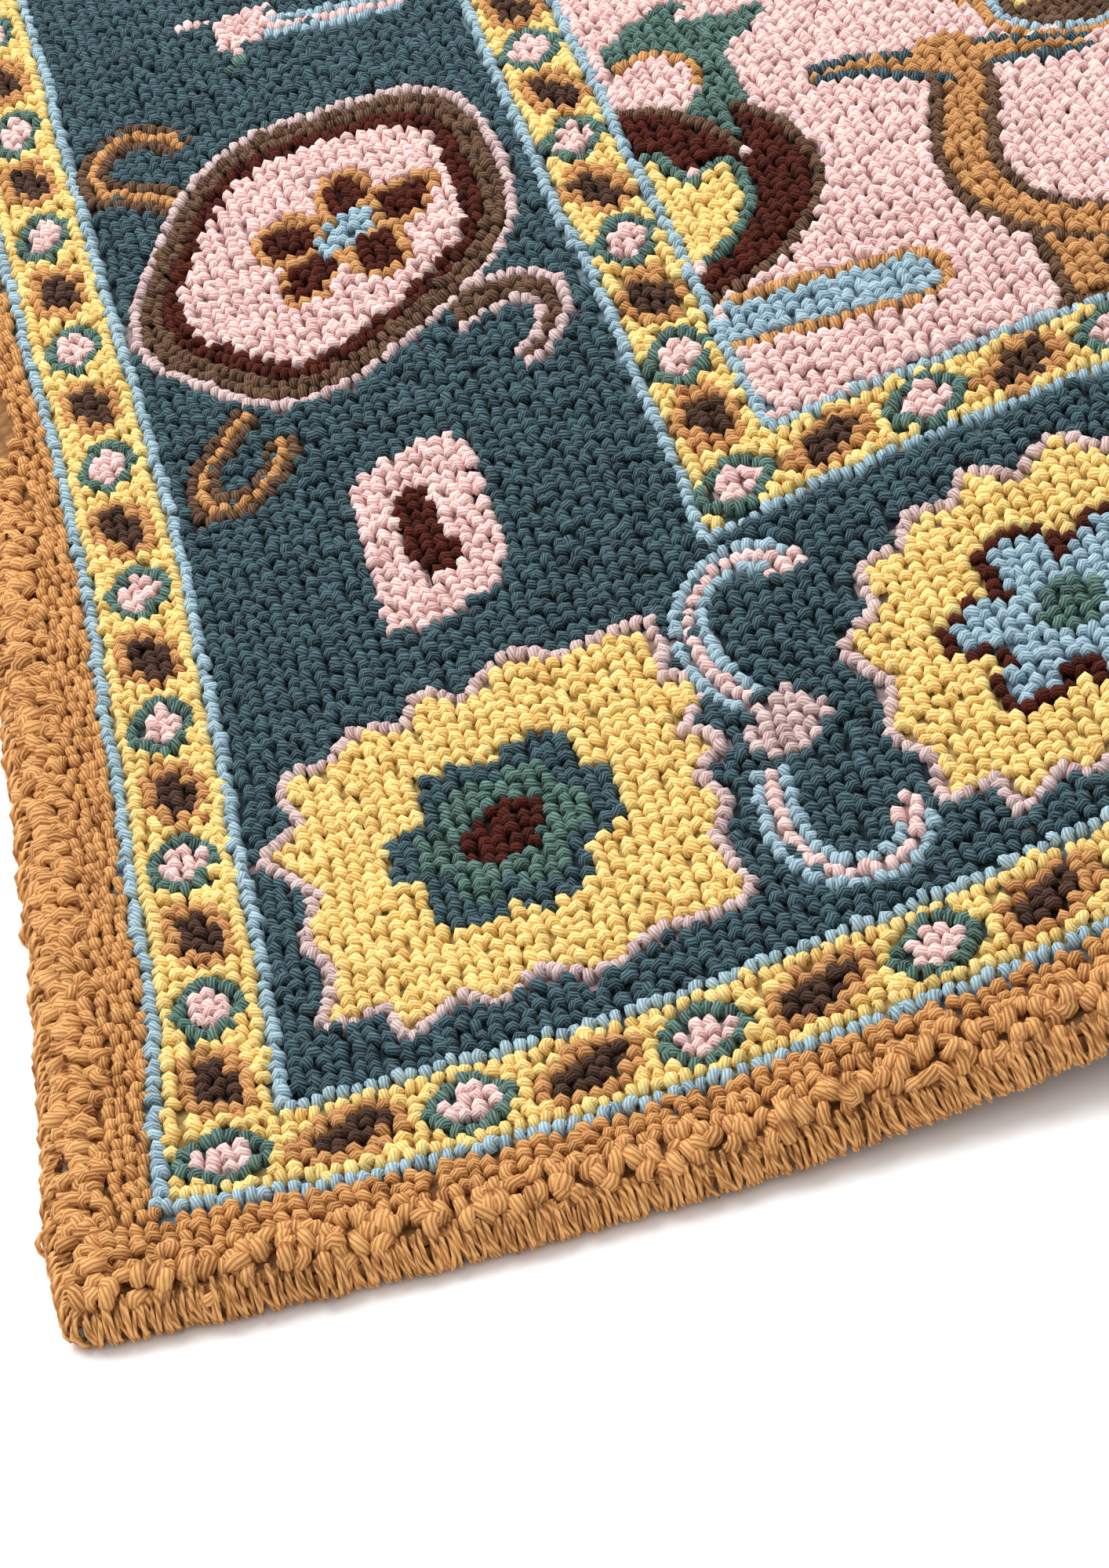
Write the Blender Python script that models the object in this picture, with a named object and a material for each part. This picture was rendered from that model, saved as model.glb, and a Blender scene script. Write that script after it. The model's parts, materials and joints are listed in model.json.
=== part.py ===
"""Hand-tufted wool rug lying on the floor, with one long ripple that runs in from its front edge.

Metres, +Z up. The rug is laid out flat first, in plan places (s, t): s runs along the front edge from the near left
corner and t runs along the left edge away from it. Its lie then moves each place sideways and lifts it.
The origin is on the floor under the middle of the rug's box.
"""

from math import cos, exp, pi, radians, sin
from typing import NamedTuple

import bmesh
import bpy
from mathutils import Vector

# The flat rug: its guard stripes hold whole numbers of this lozenge pitch between the two corner lozenges.
LOZENGE_PITCH = 0.062
CORNER_LOZENGE = 0.043
WIDTH = 2 * CORNER_LOZENGE + 23 * LOZENGE_PITCH
LENGTH = 2 * CORNER_LOZENGE + 38 * LOZENGE_PITCH
CORNER_RADIUS = 0.014

# Layers, as heights above the floor where the rug lies flat.
GAP = 0.0003
BACKING_TOP = 0.0015
PILE_BOTTOM = BACKING_TOP + GAP
PILE_TOP = 0.014

# The edge: the outer loops hang over a wall of whipping, whose foot turns in under the pile.
WALL_INSET = 0.004
WHIP_INSET = WALL_INSET - GAP
BACKING_INSET = 0.010
FOOT_INSET = BACKING_INSET - GAP
FULLEST = 0.0098
OVERHANG = 0.0080
WALL_TOP = 0.0062


class Ripple(NamedTuple):
    """A long soft swell: where its middle is, the way it runs, how far it reaches and how high it lifts."""

    s: float
    t: float
    turn: float
    along: float
    across: float
    lift: float


class Bow(NamedTuple):
    """How far the edges stray from straight, and how the ripple draws the field in sideways around it."""

    left_out: float
    front_in: float
    draw_left: float
    draw_back: float
    draw_reach_s: float
    draw_reach_t: float


RIPPLE = Ripple(s=0.28, t=0.365, turn=radians(115), along=0.85, across=0.325, lift=0.045)
BOW = Bow(left_out=0.105, front_in=0.09, draw_left=0.42, draw_back=0.21, draw_reach_s=0.75, draw_reach_t=1.2)


class Ring(NamedTuple):
    """One ring of a rim: how far in from the rug's outline, and how high above the floor."""

    inset: float
    height: float


PILE_UPPER = (
    Ring(0.0, FULLEST),
    Ring(0.0020, 0.0122),
    Ring(0.0065, 0.0137),
    Ring(CORNER_RADIUS, PILE_TOP),
)
PILE_LOWER = (
    Ring(0.0, OVERHANG),
    Ring(WALL_INSET, WALL_TOP),
    Ring(WALL_INSET, PILE_BOTTOM),
    Ring(CORNER_RADIUS, PILE_BOTTOM),
)
BACKING_UPPER = (Ring(BACKING_INSET, BACKING_TOP), Ring(CORNER_RADIUS, BACKING_TOP))
BACKING_LOWER = (Ring(BACKING_INSET, 0.0), Ring(CORNER_RADIUS, 0.0))
WHIP_OUTER = (
    Ring(0.0010, 0.0070),
    Ring(0.0003, 0.0045),
    Ring(0.0010, 0.0015),
    Ring(0.0025, 0.0),
    Ring(FOOT_INSET, 0.0),
)
WHIP_INNER = (
    Ring(WHIP_INSET, 0.0058),
    Ring(WHIP_INSET, 0.0040),
    Ring(WHIP_INSET, BACKING_TOP),
    Ring(0.0055, BACKING_TOP),
    Ring(FOOT_INSET, BACKING_TOP),
)

# Cells of the mesh: fine where the ripple lies, coarser over the flat rest.
RIPPLE_END_S = 0.75
RIPPLE_CELLS_S = 13
FLAT_CELLS_S = 6
RIPPLE_END_T = LENGTH / 2
RIPPLE_CELLS_T = 19
FLAT_CELLS_T = 9
WHIP_CORNER_STEPS = 3

CAMEL = (0.60, 0.29, 0.095, 1.0)
TEAL = (0.040, 0.085, 0.105, 1.0)
GREY_GREEN = (0.10, 0.13, 0.12, 1.0)
WOOL_ROUGHNESS = 0.95


def clear_scene():
    """Removes what the file opened with."""
    for found in list(bpy.data.objects):
        bpy.data.objects.remove(found)


def wool(name, colour):
    """A plain matt wool of one colour."""
    finish = bpy.data.materials.new(name)
    finish.use_nodes = True
    shader = finish.node_tree.nodes["Principled BSDF"]
    shader.inputs["Base Color"].default_value = colour
    shader.inputs["Roughness"].default_value = WOOL_ROUGHNESS
    shader.inputs["Metallic"].default_value = 0.0
    return finish


def spaced(turn, end, near_cells, far_cells):
    """Places from the first inner line to the last: even steps as far as turn, then wider ones."""
    start, stop = CORNER_RADIUS, end - CORNER_RADIUS
    near = [start + (turn - start) * k / near_cells for k in range(near_cells)]
    far = [turn + (stop - turn) * k / far_cells for k in range(far_cells + 1)]
    return near + far


LINES_S = spaced(RIPPLE_END_S, WIDTH, RIPPLE_CELLS_S, FLAT_CELLS_S)
LINES_T = spaced(RIPPLE_END_T, LENGTH, RIPPLE_CELLS_T, FLAT_CELLS_T)


def ripple_height(s, t):
    """How high the ripple lifts the rug over a plan place."""
    away_s, away_t = s - RIPPLE.s, t - RIPPLE.t
    along = away_s * cos(RIPPLE.turn) + away_t * sin(RIPPLE.turn)
    across = away_t * cos(RIPPLE.turn) - away_s * sin(RIPPLE.turn)
    inside = 1 - (along / RIPPLE.along) ** 2 - (across / RIPPLE.across) ** 2
    return RIPPLE.lift * max(inside, 0.0) ** 3


def lie(s, t, height):
    """Where a plan place of the flat rug rests, at that height in its thickness."""
    near = s * t * exp(-((s / BOW.draw_reach_s) ** 2) - (t / BOW.draw_reach_t) ** 2) * (1 - (t / LENGTH) ** 4)
    x = s - BOW.left_out * sin(pi * t / LENGTH) ** 2 * (1 - s / WIDTH) - BOW.draw_left * near
    y = t + BOW.front_in * sin(pi * s / WIDTH) ** 2 * (1 - t / LENGTH) + BOW.draw_back * near
    middle_x, middle_y = (WIDTH - BOW.left_out) / 2, LENGTH / 2
    return Vector((x - middle_x, y - middle_y, height + ripple_height(s, t)))


def closed_sheet(name, finish, columns, rows, place):
    """One closed sheet on a grid of cells. place(column, row, upper) says where each grid corner rests."""
    shape = bmesh.new()
    bmesh.ops.create_grid(shape, x_segments=columns, y_segments=rows, size=0.5)
    raised = bmesh.ops.extrude_face_region(shape, geom=shape.faces[:])
    upper = {part for part in raised["geom"] if isinstance(part, bmesh.types.BMVert)}
    order = {}
    for corner in shape.verts:
        column = round((corner.co.x + 0.5) * columns)
        row = round((corner.co.y + 0.5) * rows)
        order[corner] = column + row
        corner.co = place(column, row, corner in upper)
    for face in list(shape.faces):
        first, last = min(face.verts, key=order.get), max(face.verts, key=order.get)
        if order[last] - order[first] == 2:
            bmesh.utils.face_split(face, first, last)
    bmesh.ops.recalc_face_normals(shape, faces=shape.faces[:])
    if shape.calc_volume(signed=True) < 0:
        bmesh.ops.reverse_faces(shape, faces=shape.faces[:])
    mesh = bpy.data.meshes.new(name)
    shape.to_mesh(mesh)
    shape.free()
    mesh.shade_smooth()
    mesh.materials.append(finish)
    part = bpy.data.objects.new(name, mesh)
    bpy.context.scene.collection.objects.link(part)
    return part


def layer(name, finish, upper_rings, lower_rings):
    """A layer of the rug with rounded corners: inner lines, and round them the rings of its rim."""
    rim = len(upper_rings) - 1
    columns = len(LINES_S) - 1 + 2 * rim
    rows = len(LINES_T) - 1 + 2 * rim

    def inset_along(index, count, lines, length, rings):
        """How far a grid line is in from its nearer side of the rug, in plan."""
        if min(index, count - index) < rim:
            return rings[min(index, count - index)].inset
        line = lines[index - rim]
        return line if 2 * index <= count else length - line

    def place(column, row, upper):
        rings = upper_rings if upper else lower_rings
        from_side, from_end = min(column, columns - column), min(row, rows - row)
        ring = rings[min(from_side, from_end, rim)]
        in_s = inset_along(column, columns, LINES_S, WIDTH, rings)
        in_t = inset_along(row, rows, LINES_T, LENGTH, rings)
        if max(from_side, from_end) < rim:
            nearer, further = sorted((from_side, from_end))
            angle = pi / 4 * (rim - further) / (rim - nearer)
            radius = CORNER_RADIUS - ring.inset
            beside, ahead = CORNER_RADIUS - radius * sin(angle), CORNER_RADIUS - radius * cos(angle)
            in_s, in_t = (beside, ahead) if from_side >= from_end else (ahead, beside)
        s = in_s if 2 * column <= columns else WIDTH - in_s
        t = in_t if 2 * row <= rows else LENGTH - in_t
        return lie(s, t, ring.height)

    return closed_sheet(name, finish, columns, rows, place)


def whipped_edge(name, finish, lines, length, to_plan):
    """One edge's whipping, mitred at the middle of both round corners. to_plan turns (along, inset) into (s, t)."""
    stations = len(lines) - 1 + 2 * WHIP_CORNER_STEPS
    half_mitre = GAP / 2 * sin(pi / 4)

    def place(station, ring_number, upper):
        ring = (WHIP_INNER if upper else WHIP_OUTER)[ring_number]
        from_end = min(station, stations - station)
        if from_end < WHIP_CORNER_STEPS:
            angle = pi / 4 * (1 - from_end / WHIP_CORNER_STEPS)
            along = CORNER_RADIUS - (CORNER_RADIUS - ring.inset) * sin(angle)
            inset = CORNER_RADIUS - (CORNER_RADIUS - ring.inset) * cos(angle)
            if from_end == 0:
                along, inset = along + half_mitre, inset - half_mitre
            along = along if station < stations / 2 else length - along
        else:
            along, inset = lines[station - WHIP_CORNER_STEPS], ring.inset
        return lie(*to_plan(along, inset), ring.height)

    return closed_sheet(name, finish, stations, len(WHIP_OUTER) - 1, place)


def build():
    """Makes the rug's pieces."""
    clear_scene()
    camel = wool("camel_wool", CAMEL)
    layer("tufted_pile", wool("tufted_wool", TEAL), PILE_UPPER, PILE_LOWER)
    layer("backing_cloth", wool("backing_weave", GREY_GREEN), BACKING_UPPER, BACKING_LOWER)
    whipped_edge("whipped_edge_front", camel, LINES_S, WIDTH, lambda along, inset: (along, inset))
    whipped_edge("whipped_edge_back", camel, LINES_S, WIDTH, lambda along, inset: (along, LENGTH - inset))
    whipped_edge("whipped_edge_left", camel, LINES_T, LENGTH, lambda along, inset: (inset, along))
    whipped_edge("whipped_edge_right", camel, LINES_T, LENGTH, lambda along, inset: (WIDTH - inset, along))


build()
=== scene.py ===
"""Looks of a hand-tufted wool rug: its loops, pattern, rim and backing, and the studio it is shown in.

Metres, +Z up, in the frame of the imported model. The pattern is drawn on the flat rug first, in plan places
(s, t): s runs along the front edge from the near left corner, and t along the left edge, away from it. The
rug's lie then says where each plan place rests. Where the rug is seen close by, every loop of the pile is a
piece of yarn. Over the rest of it the pile is one sheet, coloured loop by loop.
"""

from __future__ import annotations

import json
import logging
from collections.abc import Callable, Sequence
from dataclasses import dataclass, field
from enum import Enum
from math import cos, pi, radians, sin

import bmesh
import bpy
import numpy as np
from mathutils import Matrix, Vector
from mathutils.kdtree import KDTree

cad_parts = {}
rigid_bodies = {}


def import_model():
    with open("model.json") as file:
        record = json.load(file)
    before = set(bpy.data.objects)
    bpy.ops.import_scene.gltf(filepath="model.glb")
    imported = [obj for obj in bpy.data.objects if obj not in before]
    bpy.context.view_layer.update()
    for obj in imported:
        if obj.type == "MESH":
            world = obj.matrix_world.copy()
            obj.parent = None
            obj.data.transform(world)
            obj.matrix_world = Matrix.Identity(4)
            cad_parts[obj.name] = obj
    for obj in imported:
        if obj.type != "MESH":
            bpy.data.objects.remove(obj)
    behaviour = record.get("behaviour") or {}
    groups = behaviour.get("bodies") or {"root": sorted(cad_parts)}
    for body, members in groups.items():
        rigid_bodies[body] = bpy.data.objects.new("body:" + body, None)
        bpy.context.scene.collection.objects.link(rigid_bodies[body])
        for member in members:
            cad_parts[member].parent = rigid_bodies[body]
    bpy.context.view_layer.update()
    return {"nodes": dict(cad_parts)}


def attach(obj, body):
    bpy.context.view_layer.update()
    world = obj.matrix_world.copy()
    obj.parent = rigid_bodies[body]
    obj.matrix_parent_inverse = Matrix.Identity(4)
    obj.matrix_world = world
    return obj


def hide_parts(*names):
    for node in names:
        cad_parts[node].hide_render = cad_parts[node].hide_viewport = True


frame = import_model()

LOG = logging.getLogger("rug")

Points = np.ndarray
Colour = tuple[float, float, float, float]

# One pitch of the outer guard stripe's lozenges, and the border's lines, as distances from the edge.
LOZENGE_PITCH = 0.062
CORNER_LOZENGE = 0.043
STEPS_ACROSS = 23
STEPS_ALONG = 38
WIDTH = 2 * CORNER_LOZENGE + STEPS_ACROSS * LOZENGE_PITCH
LENGTH = 2 * CORNER_LOZENGE + STEPS_ALONG * LOZENGE_PITCH
CORNER_RADIUS = 0.014
OUTER_STRIPE = 0.027
BORDER_START = 0.059
BORDER_END = 0.209
FIELD_START = 0.237
INNER_LOZENGE = 0.223
INNER_STEPS_ACROSS = 18
INNER_STEPS_ALONG = 35
BORDER_MIDDLE = (BORDER_START + BORDER_END) / 2

# The pile: rows of loops, how far apart they are and how high they stand.
ROW_PITCH = 0.0041
LOOP_PITCH = 0.0036
PILE_TOP = 0.0140
LOOP_STAND = 0.0042
LINE_SPACING = 0.0043
ROW_HALF = 0.62 * ROW_PITCH


def linear(red: int, green: int, blue: int) -> Colour:
    """A screen colour, 0 to 255 a channel, as linear light."""
    channels = (c / 255 for c in (red, green, blue))
    lit = [c / 12.92 if c <= 0.04045 else ((c + 0.055) / 1.055) ** 2.4 for c in channels]
    return (lit[0], lit[1], lit[2], 1.0)


def shown(name: str, data: bpy.types.ID) -> bpy.types.Object:
    """A new object in the scene."""
    made = bpy.data.objects.new(name, data)
    bpy.context.scene.collection.objects.link(made)
    return made


def finished(name: str, shape: bmesh.types.BMesh) -> bpy.types.Mesh:
    """The mesh of a finished shape, which is freed."""
    mesh = bpy.data.meshes.new(name)
    shape.to_mesh(mesh)
    shape.free()
    return mesh


def corner_places(mesh: bpy.types.Mesh) -> np.ndarray:
    """Which vertex each face corner of a mesh is at."""
    found = np.empty(len(mesh.loops), dtype=int)
    mesh.loops.foreach_get("vertex_index", found)
    return found


def near_tree(spots: Points) -> KDTree:
    """A tree that finds which of some plan places are close by."""
    tree = KDTree(len(spots))
    for number, spot in enumerate(spots):
        tree.insert((*spot, 0.0), number)
    tree.balance()
    return tree


@dataclass(frozen=True)
class DyeAndPaintedLight:
    """One yarn's colours: a painted highlight colour for where light catches it, its dye over most of it, and
    a painted shade colour for its shade.
    """

    lit: Colour
    main: Colour
    shade: Colour


class Yarn(Enum):
    """The yarns of the rug, each with its dye and its painted highlight and shade colours."""

    CAMEL = DyeAndPaintedLight(linear(232, 178, 116), linear(206, 148, 88), linear(134, 78, 34))
    YELLOW = DyeAndPaintedLight(linear(255, 234, 166), linear(252, 220, 136), linear(204, 152, 66))
    TEAL = DyeAndPaintedLight(linear(92, 120, 128), linear(46, 68, 76), linear(14, 24, 30))
    GREY_GREEN = DyeAndPaintedLight(linear(118, 150, 138), linear(74, 104, 98), linear(30, 48, 46))
    LIGHT_BLUE = DyeAndPaintedLight(linear(190, 214, 224), linear(154, 184, 197), linear(96, 124, 142))
    PINK = DyeAndPaintedLight(linear(252, 226, 221), linear(242, 206, 201), linear(196, 148, 144))
    MAUVE = DyeAndPaintedLight(linear(234, 212, 208), linear(219, 193, 190), linear(156, 124, 124))
    BROWN = DyeAndPaintedLight(linear(128, 98, 76), linear(96, 69, 52), linear(42, 27, 19))
    RED_BROWN = DyeAndPaintedLight(linear(100, 40, 22), linear(64, 17, 8), linear(22, 5, 2))
    DARK_BROWN = DyeAndPaintedLight(linear(98, 70, 56), linear(68, 45, 34), linear(26, 15, 11))
    TAN = DyeAndPaintedLight(linear(226, 172, 116), linear(198, 144, 88), linear(132, 82, 40))


YARNS = tuple(Yarn)


def smooth_step(value: np.ndarray) -> np.ndarray:
    """Eases from 0 to 1 as the value does."""
    held = np.clip(value, 0.0, 1.0)
    return held * held * (3 - 2 * held)


@dataclass(frozen=True)
class Lie:
    """How the flat rug rests: one long ripple, and edges that stray from straight."""

    ripple_s: float = 0.28
    ripple_t: float = 0.365
    ripple_turn: float = radians(115)
    ripple_along: float = 0.85
    ripple_across: float = 0.325
    ripple_lift: float = 0.045
    left_out: float = 0.105
    front_in: float = 0.09
    draw_left: float = 0.42
    draw_back: float = 0.21
    draw_reach_s: float = 0.75
    draw_reach_t: float = 1.2

    def lift(self, s: np.ndarray, t: np.ndarray) -> np.ndarray:
        """How high the ripple lifts the rug over plan places."""
        away_s, away_t = s - self.ripple_s, t - self.ripple_t
        along = away_s * cos(self.ripple_turn) + away_t * sin(self.ripple_turn)
        across = away_t * cos(self.ripple_turn) - away_s * sin(self.ripple_turn)
        inside = 1 - (along / self.ripple_along) ** 2 - (across / self.ripple_across) ** 2
        return self.ripple_lift * np.maximum(inside, 0.0) ** 3

    def place(self, s: np.ndarray, t: np.ndarray, height: np.ndarray | float) -> Points:
        """Where plan places rest.

        Args:
            s: Places along the front edge.
            t: Places along the left edge.
            height: How high each lies in the rug's thickness.

        Returns:
            One row of x, y and z for each place.
        """
        fade = np.exp(-((s / self.draw_reach_s) ** 2) - (t / self.draw_reach_t) ** 2)
        near = s * t * fade * (1 - (t / LENGTH) ** 4)
        bow = self.left_out * np.sin(pi * t / LENGTH) ** 2 * (1 - s / WIDTH)
        curve = self.front_in * np.sin(pi * s / WIDTH) ** 2 * (1 - t / LENGTH)
        x = s - bow - self.draw_left * near - (WIDTH - self.left_out) / 2
        y = t + curve + self.draw_back * near - LENGTH / 2
        return np.stack([x, y, height + self.lift(s, t)], axis=-1)

    def axes(self, s: np.ndarray, t: np.ndarray) -> tuple[Points, Points, Points]:
        """Unit directions at plan places.

        Args:
            s: Places along the front edge.
            t: Places along the left edge.

        Returns:
            The way that s runs, the way that t runs, square to it, and the way out of the pile.
        """
        step = 0.002
        along = self.place(s + step, t, 0.0) - self.place(s - step, t, 0.0)
        away = self.place(s, t + step, 0.0) - self.place(s, t - step, 0.0)
        up = np.cross(along, away)
        along /= np.linalg.norm(along, axis=1, keepdims=True)
        up /= np.linalg.norm(up, axis=1, keepdims=True)
        return along, np.cross(up, along), up


LIE = Lie()

# The lotus in the corner of the field: where its sepal turns about, and its leaf's and its petal's outlines.
LOTUS_FOOT = np.array([0.2350, 0.3480])
LOTUS_LEAF = (
    (0.240, 0.432),
    (0.258, 0.446),
    (0.276, 0.452),
    (0.272, 0.438),
    (0.300, 0.436),
    (0.281, 0.412),
    (0.279, 0.384),
    (0.270, 0.362),
    (0.262, 0.384),
    (0.250, 0.410),
)
YELLOW_LOBES = (
    (0.2375, 0.372),
    (0.2450, 0.369),
    (0.2500, 0.351),
    (0.2590, 0.357),
    (0.2655, 0.351),
    (0.2620, 0.330),
    (0.2500, 0.316),
    (0.2375, 0.312),
)
SEPAL_REACH = np.array([0.053, 0.052])

# The palmette's hooks and the border's scrolls, about their motif's middle.
UPPER_HOOK = (
    (-0.040, 0.051),
    (-0.051, 0.064),
    (-0.066, 0.078),
    (-0.067, 0.093),
    (-0.054, 0.100),
    (-0.040, 0.090),
    (-0.034, 0.080),
)
LOWER_HOOK = (
    (-0.041, -0.058),
    (-0.052, -0.066),
    (-0.062, -0.078),
    (-0.062, -0.091),
    (-0.050, -0.094),
    (-0.039, -0.088),
    (-0.034, -0.076),
)
BROWN_HOOK = (
    (0.030, -0.062),
    (0.046, -0.062),
    (0.058, -0.069),
    (0.060, -0.082),
    (0.053, -0.092),
    (0.044, -0.096),
)
UPPER_SCROLL = (
    (-0.007, 0.013),
    (-0.013, 0.024),
    (-0.016, 0.038),
    (-0.014, 0.053),
    (-0.004, 0.063),
    (0.009, 0.061),
    (0.015, 0.053),
)
LOWER_SCROLL = (
    (-0.008, -0.013),
    (-0.009, -0.028),
    (-0.008, -0.043),
    (-0.001, -0.055),
    (0.011, -0.059),
    (0.021, -0.054),
    (0.022, -0.044),
)

# The field's vines in one quarter of the rug: the long one with its leaves, and the corner spray's.
FIELD_VINE = ((0.40, 0.42), (0.46, 0.56), (0.36, 0.72), (0.42, 0.90), (0.33, 1.05), (0.38, 1.221))
FIELD_LEAVES = ((0.43, 0.50, 40), (0.39, 0.66, 160), (0.44, 0.80, 20), (0.35, 0.97, 200), (0.40, 1.12, 30))
SPRAY_ROOT = ((0.340, 0.285), (0.344, 0.262), (0.340, 0.225), (0.352, 0.196))
SPRAY_STEM = (
    (0.345, 0.380),
    (0.342, 0.360),
    (0.335, 0.338),
    (0.330, 0.314),
    (0.336, 0.288),
    (0.357, 0.272),
    (0.385, 0.266),
)
SPRAY_LEAVES = (
    ((0.345, 0.374), (0.333, 0.379), (0.319, 0.385), (0.302, 0.386)),
    ((0.346, 0.378), (0.360, 0.380), (0.374, 0.377), (0.388, 0.376)),
)


def strayed(places: Points) -> Points:
    """Where the tufter's hand put places of the true pattern: a little off, most at the near corner."""
    s, t = places[:, 0], places[:, 1]
    left = np.exp(-(((s - 0.025) / 0.030) ** 2) - ((t - 0.035) / 0.050) ** 2)
    low = np.exp(-(((s - 0.030) / 0.032) ** 2) - ((t - 0.028) / 0.030) ** 2)
    right = np.exp(-(((s - 0.095) / 0.045) ** 2) - ((t - 0.026) / 0.030) ** 2)
    across = 0.0009 * np.sin(23 * t + 9 * s) + 0.0005 * np.sin(71 * t - 13 * s) - 0.0030 * left
    along = 0.0009 * np.sin(21 * s - 8 * t) + 0.0005 * np.sin(67 * s + 17 * t) + 0.0045 * low - 0.0018 * right
    return places + np.stack([across, along], axis=1)


@dataclass(frozen=True)
class Mark:
    """One part of the pattern: an area filled with a yarn, or a row of loops along a path."""

    path: Points
    yarn: Yarn
    filled: bool = True
    closed: bool = True

    def placed(self, s: float, t: float, turn: float = 0.0, flip: bool = False) -> Mark:
        """The same mark turned, mirrored if flip says so, and moved to a plan place."""
        spun = np.array([[cos(turn), sin(turn)], [-sin(turn), cos(turn)]])
        path = self.path * (-1, 1) if flip else self.path
        return Mark(path @ spun + (s, t), self.yarn, self.filled, self.closed)

    def mirrored(self, across: bool, along: bool) -> Mark:
        """The mark's copy in another quarter of the rug."""
        path = self.path.copy()
        if across:
            path[:, 0] = WIDTH - path[:, 0]
        if along:
            path[:, 1] = LENGTH - path[:, 1]
        return Mark(path, self.yarn, self.filled, self.closed)

    def along(self, path: Points) -> Mark:
        """The same mark on another path."""
        return Mark(path, self.yarn, self.filled, self.closed)


def placed(marks: Sequence[Mark], s: float, t: float, turn: float = 0.0, flip: bool = False) -> list[Mark]:
    """Marks turned, mirrored if flip says so, and moved to a plan place together."""
    return [mark.placed(s, t, turn, flip) for mark in marks]


def in_quarters(marks: Sequence[Mark]) -> list[Mark]:
    """Marks in all four quarters of the rug."""
    sides = (False, True)
    return [mark.mirrored(across, along) for across in sides for along in sides for mark in marks]


def row(path: Points, yarn: Yarn, closed: bool = False) -> Mark:
    """A single row of loops along a path."""
    return Mark(path, yarn, filled=False, closed=closed)


def around(radius: Callable[[np.ndarray], np.ndarray], steps: int = 72) -> Points:
    """A closed outline from its radius at each angle."""
    angle = np.linspace(0, 2 * pi, steps, endpoint=False)
    reach = radius(angle)
    return np.stack([reach * np.cos(angle), reach * np.sin(angle)], axis=1)


def oval(long: float, wide: float, turn: float = 0.0, power: float = 2.0) -> Points:
    """A closed oval of two half sizes, squarer for a higher power."""
    angle = np.linspace(0, 2 * pi, 40, endpoint=False)
    x = long * np.sign(np.cos(angle)) * np.abs(np.cos(angle)) ** (2 / power)
    y = wide * np.sign(np.sin(angle)) * np.abs(np.sin(angle)) ** (2 / power)
    return np.stack([x * cos(turn) - y * sin(turn), x * sin(turn) + y * cos(turn)], axis=1)


def lobed(lobes: int, crest: float, notch: float, turn: float = 0.0) -> Points:
    """A closed flower outline: round lobes that reach the crest, with notches between."""
    roundness = 0.7

    def reach(angle: np.ndarray) -> np.ndarray:
        return notch + (crest - notch) * np.abs(np.cos(lobes / 2 * (angle - turn))) ** roundness

    return around(reach, 96)


def toothed(teeth: int, tip: float, valley: float, power: float, phase: float = 0.0) -> Points:
    """A closed outline with uneven pointed teeth round a square with round corners."""

    def reach(angle: np.ndarray) -> np.ndarray:
        square = (np.abs(np.cos(angle)) ** power + np.abs(np.sin(angle)) ** power) ** (-1 / power)
        count = teeth * angle / (2 * pi) + 0.25 * np.sin(3 * angle + phase)
        tooth = np.abs(count % 1.0 - 0.5) * 2
        return square * (valley + (tip - valley) * tooth * (0.85 + 0.25 * np.sin(5 * angle + phase)))

    return around(reach, teeth * 8)


def curve_through(places: Sequence[tuple[float, float]], steps: int = 8) -> Points:
    """A smooth open path through a few places."""
    held = np.array([places[0], *places, places[-1]], dtype=float)
    share = np.linspace(0, 1, steps, endpoint=False)[:, None]
    spans = []
    for k in range(1, len(held) - 2):
        before, start, end, after = held[k - 1 : k + 3]
        bend = 2 * start + (end - before) * share
        bend = bend + (2 * before - 5 * start + 4 * end - after) * share**2
        spans.append((bend + (3 * start - before - 3 * end + after) * share**3) / 2)
    return np.vstack([*spans, held[-1:]])


def crook(start: tuple[float, float], heading: float, stem: float, radius: float, sweep: float) -> Points:
    """An open path that runs straight and then curls.

    Args:
        start: Where the stem begins.
        heading: The stem's direction in degrees.
        stem: The stem's length.
        radius: The curl's radius.
        sweep: How far the curl turns in degrees, to the left if positive.

    Returns:
        The path's places.
    """
    way = radians(heading)
    bend = np.array(start) + stem * np.array([cos(way), sin(way)])
    side = 1 if sweep > 0 else -1
    middle = bend + side * radius * np.array([-sin(way), cos(way)])
    angle = way - side * pi / 2 + np.radians(np.linspace(0, sweep, 20))
    curl = middle + radius * np.stack([np.cos(angle), np.sin(angle)], axis=1)
    return np.vstack([[start], curl])


def beside(path: Points, distance: float) -> Points:
    """A path's parallel, to its left if the distance is positive."""
    way = np.gradient(path, axis=0)
    way /= np.maximum(np.linalg.norm(way, axis=1, keepdims=True), 1e-9)
    return path + distance * np.stack([-way[:, 1], way[:, 0]], axis=1)


def band(path: Points, half: float) -> Points:
    """The closed outline of a band along a path."""
    return np.vstack([beside(path, half), beside(path, -half)[::-1]])


def tapered(path: Points, first: float, last: float) -> tuple[Points, Points]:
    """The two sides of a band along a path, from its first half width to its last."""
    half = np.linspace(first, last, len(path))[:, None]
    side = beside(path, 1.0) - path
    return path + side * half, path - side * half


def edge_rows(path: Points, half: float, yarn: Yarn) -> list[Mark]:
    """Two rows of loops, one on each side of a path."""
    return [row(beside(path, half), yarn), row(beside(path, -half), yarn)]


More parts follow.
